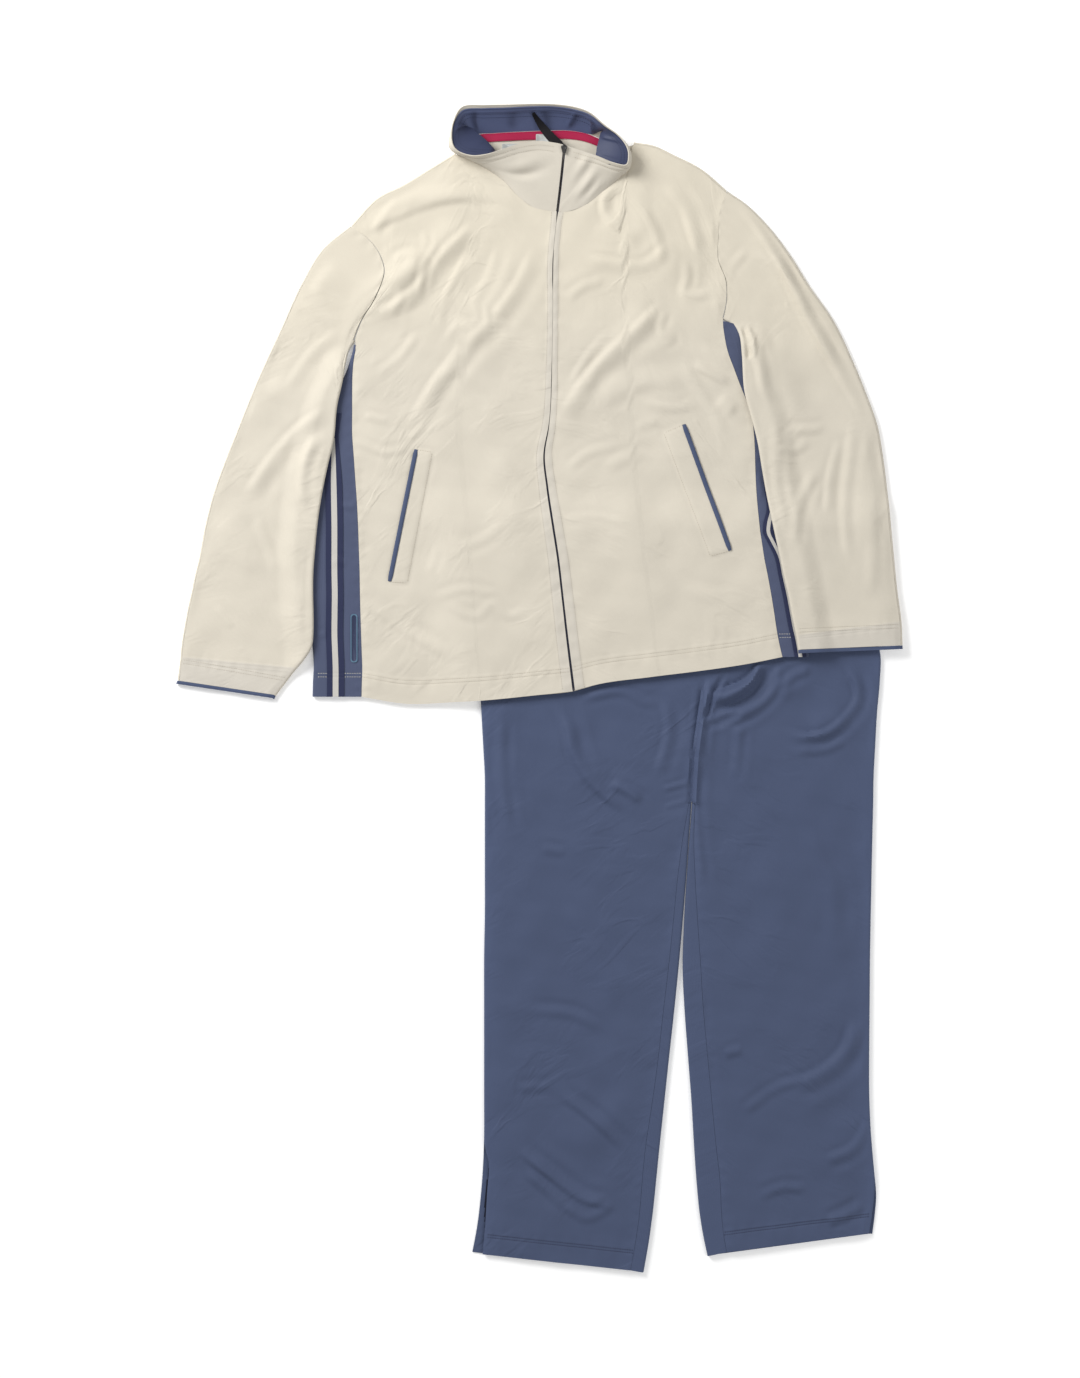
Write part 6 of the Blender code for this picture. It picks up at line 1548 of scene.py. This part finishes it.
def declare(piece, rounder=1.0):
    """Works out the cut of a piece of cloth from its own surface: its area, width and length."""
    mesh = piece.data
    areas = np.empty(len(mesh.polygons))
    mesh.polygons.foreach_get("area", areas)
    area = areas.sum() / 2
    points = np.empty(len(mesh.vertices) * 3)
    mesh.vertices.foreach_get("co", points)
    width, length, _ = np.ptp(points.reshape(-1, 3), axis=0)
    width *= rounder
    length *= 1.02
    if not 0.4 * width * length < area < width * length:
        width = area / (0.8 * length)


def add_light(name, place, size, power):
    """A soft square light that faces the garment."""
    data = bpy.data.lights.new(name, "AREA")
    data.size = size
    data.energy = power
    lamp = bpy.data.objects.new(name, data)
    lamp.location = place
    lamp.rotation_euler = (-Vector(place)).to_track_quat("-Z", "Y").to_euler()
    bpy.context.scene.collection.objects.link(lamp)


cream, white, blue, navy, pink = [Threads() for _ in range(5)]

# The jacket's fronts, back, side panels and sleeves
right = Front(-1, SHOULDER_RIGHT, COLLAR_ON_RIGHT, ARMHOLE_RIGHT, HEM_RIGHT, SIDE_RIGHT, POCKET_RIGHT)
left = Front(1, SHOULDER_LEFT, COLLAR_ON_LEFT, ARMHOLE_LEFT, HEM_LEFT, SIDE_LEFT, POCKET_LEFT)
right_piece, left_piece = right.build("right"), left.build("left")
back = build_back()
panel_right, stripes_right, upper_right = build_side("right", SIDE_RIGHT, -1)
panel_left, stripes_left, upper_left = build_side("left", SIDE_LEFT, 1)
sleeves = []
for name, table, armhole, side, sign, front in (("right", SLEEVE_RIGHT, ARMHOLE_RIGHT, SIDE_RIGHT, -1, right),
                                                ("left", SLEEVE_LEFT, ARMHOLE_LEFT, SIDE_LEFT, 1, left)):
    sleeve, binding, upper = build_sleeve(name, table, armhole, side, sign, front.outer[:ARM_COUNT, 0, 2])
    sleeves.append((sleeve, binding))
    for distance in CUFF_STITCHES:
        cream.sew(inset_line(upper, "bottom", distance))

# Collar, zip, pockets, labels and the puller
collar, lining, grid, normals, lining_face = build_collar()
tape_right = build_zip("right", right, grid, normals)
tape_left = build_zip("left", left, grid, normals)
teeth = build_teeth((right, left))
right_finder, left_finder = finder_of(right_piece), finder_of(left_piece)
welt_right = build_welt("right", right_finder, WELT_RIGHT)
welt_left = build_welt("left", left_finder, WELT_LEFT)
badge = build_patch("side_patch", SIDE_BADGE, 3.5, [BADGE_EDGE, NAVY_LABEL], "side_badge_right",
                    finder_of(panel_right))
neck_tape, tape_top = build_neck_tape()
neck_label = build_patch("neck_label_cloth", NECK_LABEL, 1.0, [LABEL, LABEL], "neck_label",
                         level=CLOTH + SEAM)
size_label = build_patch("size_label_cloth", SIZE_LABEL, 1.0, [LABEL, LABEL], "size_label",
                         level=CLOTH + 3 * SEAM + TAPE_WALL)
strap, slider = build_strap(), build_slider()

# Stitches of the jacket
for front in (right, left):
    cream.sew(inset_line(front.outer[:-1], "right", placket_width(front.outer[:-1, -1, 1])))
    for distance in HEM_STITCHES:
        cream.sew(inset_line(front.outer, "bottom", distance))
for upper in (upper_right, upper_left):
    for distance in HEM_STITCHES:
        white.sew(inset_line(upper, "bottom", distance, 0.4), 3.1, 2.4, 1.1)
for finder, corners in ((right_finder, POCKET_RIGHT), (left_finder, POCKET_LEFT)):
    for first, second in zip(corners, corners[1:]):
        cream.sew(laid_line(finder, [first, second]))
rim = (grid + 0.1 * normals)[:, 8:-8]
for distance in RIM_STITCHES:
    cream.sew(inset_line(rim[::-1], "top", distance, 0.1))
for distance in LINING_STITCHES:
    navy.sew(inset_line(lining_face[::-1], "top", distance, 0.1))
for distance in (1.2, NECK_TAPE_WIDTH - 1.2):
    pink.sew(inset_line(tape_top, "top", distance, 0.05))

# The trousers
legs = []
for name, rows, sign, slit_row in (("right", LEG_RIGHT, -1, 15), ("left", LEG_LEFT, 1, 16)):
    *leg, outer = build_leg(name, rows, sign, slit_row)
    legs.append(leg)
    for distance in LEG_STITCHES:
        blue.sew(inset_line(outer, "bottom", distance, 0.2), 3.1, 2.6, 1.3)
waistband = build_waistband()

cream_stitches = cream.piece("cream_stitches", CREAM_THREAD, "cream_knit")
white_stitches = white.piece("white_stitches", WHITE, "stripe_tape")
blue_stitches = blue.piece("blue_stitches", BLUE_THREAD, "blue_knit")
navy_stitches = navy.piece("lining_stitches", BLUE_THREAD, "lining_knit")
pink_stitches = pink.piece("neck_tape_stitches", PINK, "neck_tape")

# The cut of each cloth, from its own surface
declare(back)
declare(right_piece)
declare(left_piece)
declare(panel_right, 2.0)
declare(panel_left, 2.0)
for (sleeve, binding), side in zip(sleeves, (panel_right, panel_left)):
    declare(sleeve, 2.0)
declare(collar, 1.3)
declare(lining, 1.3)
declare(neck_tape)
for front, behind in legs:
    declare(behind, 1.3)
    declare(front)
declare(waistband, 2.0)

floor_mesh = bpy.data.meshes.new("floor")
floor_mesh.from_pydata([(x, y, -0.0004) for x, y in ((-4, -4), (4, -4), (4, 4), (-4, 4))], [], [(0, 1, 2, 3)])
floor = bpy.data.objects.new("floor", floor_mesh)
bpy.context.scene.collection.objects.link(floor)
paper = Look("pale_paper")
paper.fill(paper.shader, {"Base Color": (0.93, 0.93, 0.93, 1), "Roughness": 0.9,
                          "Emission Color": (1, 1, 1, 1), "Emission Strength": 0.22})
floor_mesh.materials.append(paper.material)

add_light("key", (-2.0, 1.9, 1.8), 1.4, 105)
add_light("fill", (2.2, -0.8, 2.2), 2.2, 27)
world = bpy.data.worlds.new("studio")
world.use_nodes = True
world.node_tree.nodes["Background"].inputs["Color"].default_value = (1.0, 1.0, 1.0, 1)
world.node_tree.nodes["Background"].inputs["Strength"].default_value = 0.42
bpy.context.scene.world = world
bpy.context.scene.view_settings.view_transform = "Standard"

camera_data = bpy.data.cameras.new("camera")
camera_data.lens = 85
camera_data.sensor_width = 36
camera_data.sensor_fit = "AUTO"
camera = bpy.data.objects.new("camera", camera_data)
camera.location = (0.0011, 0.00075, 4.175)
bpy.context.scene.collection.objects.link(camera)
bpy.context.scene.camera = camera
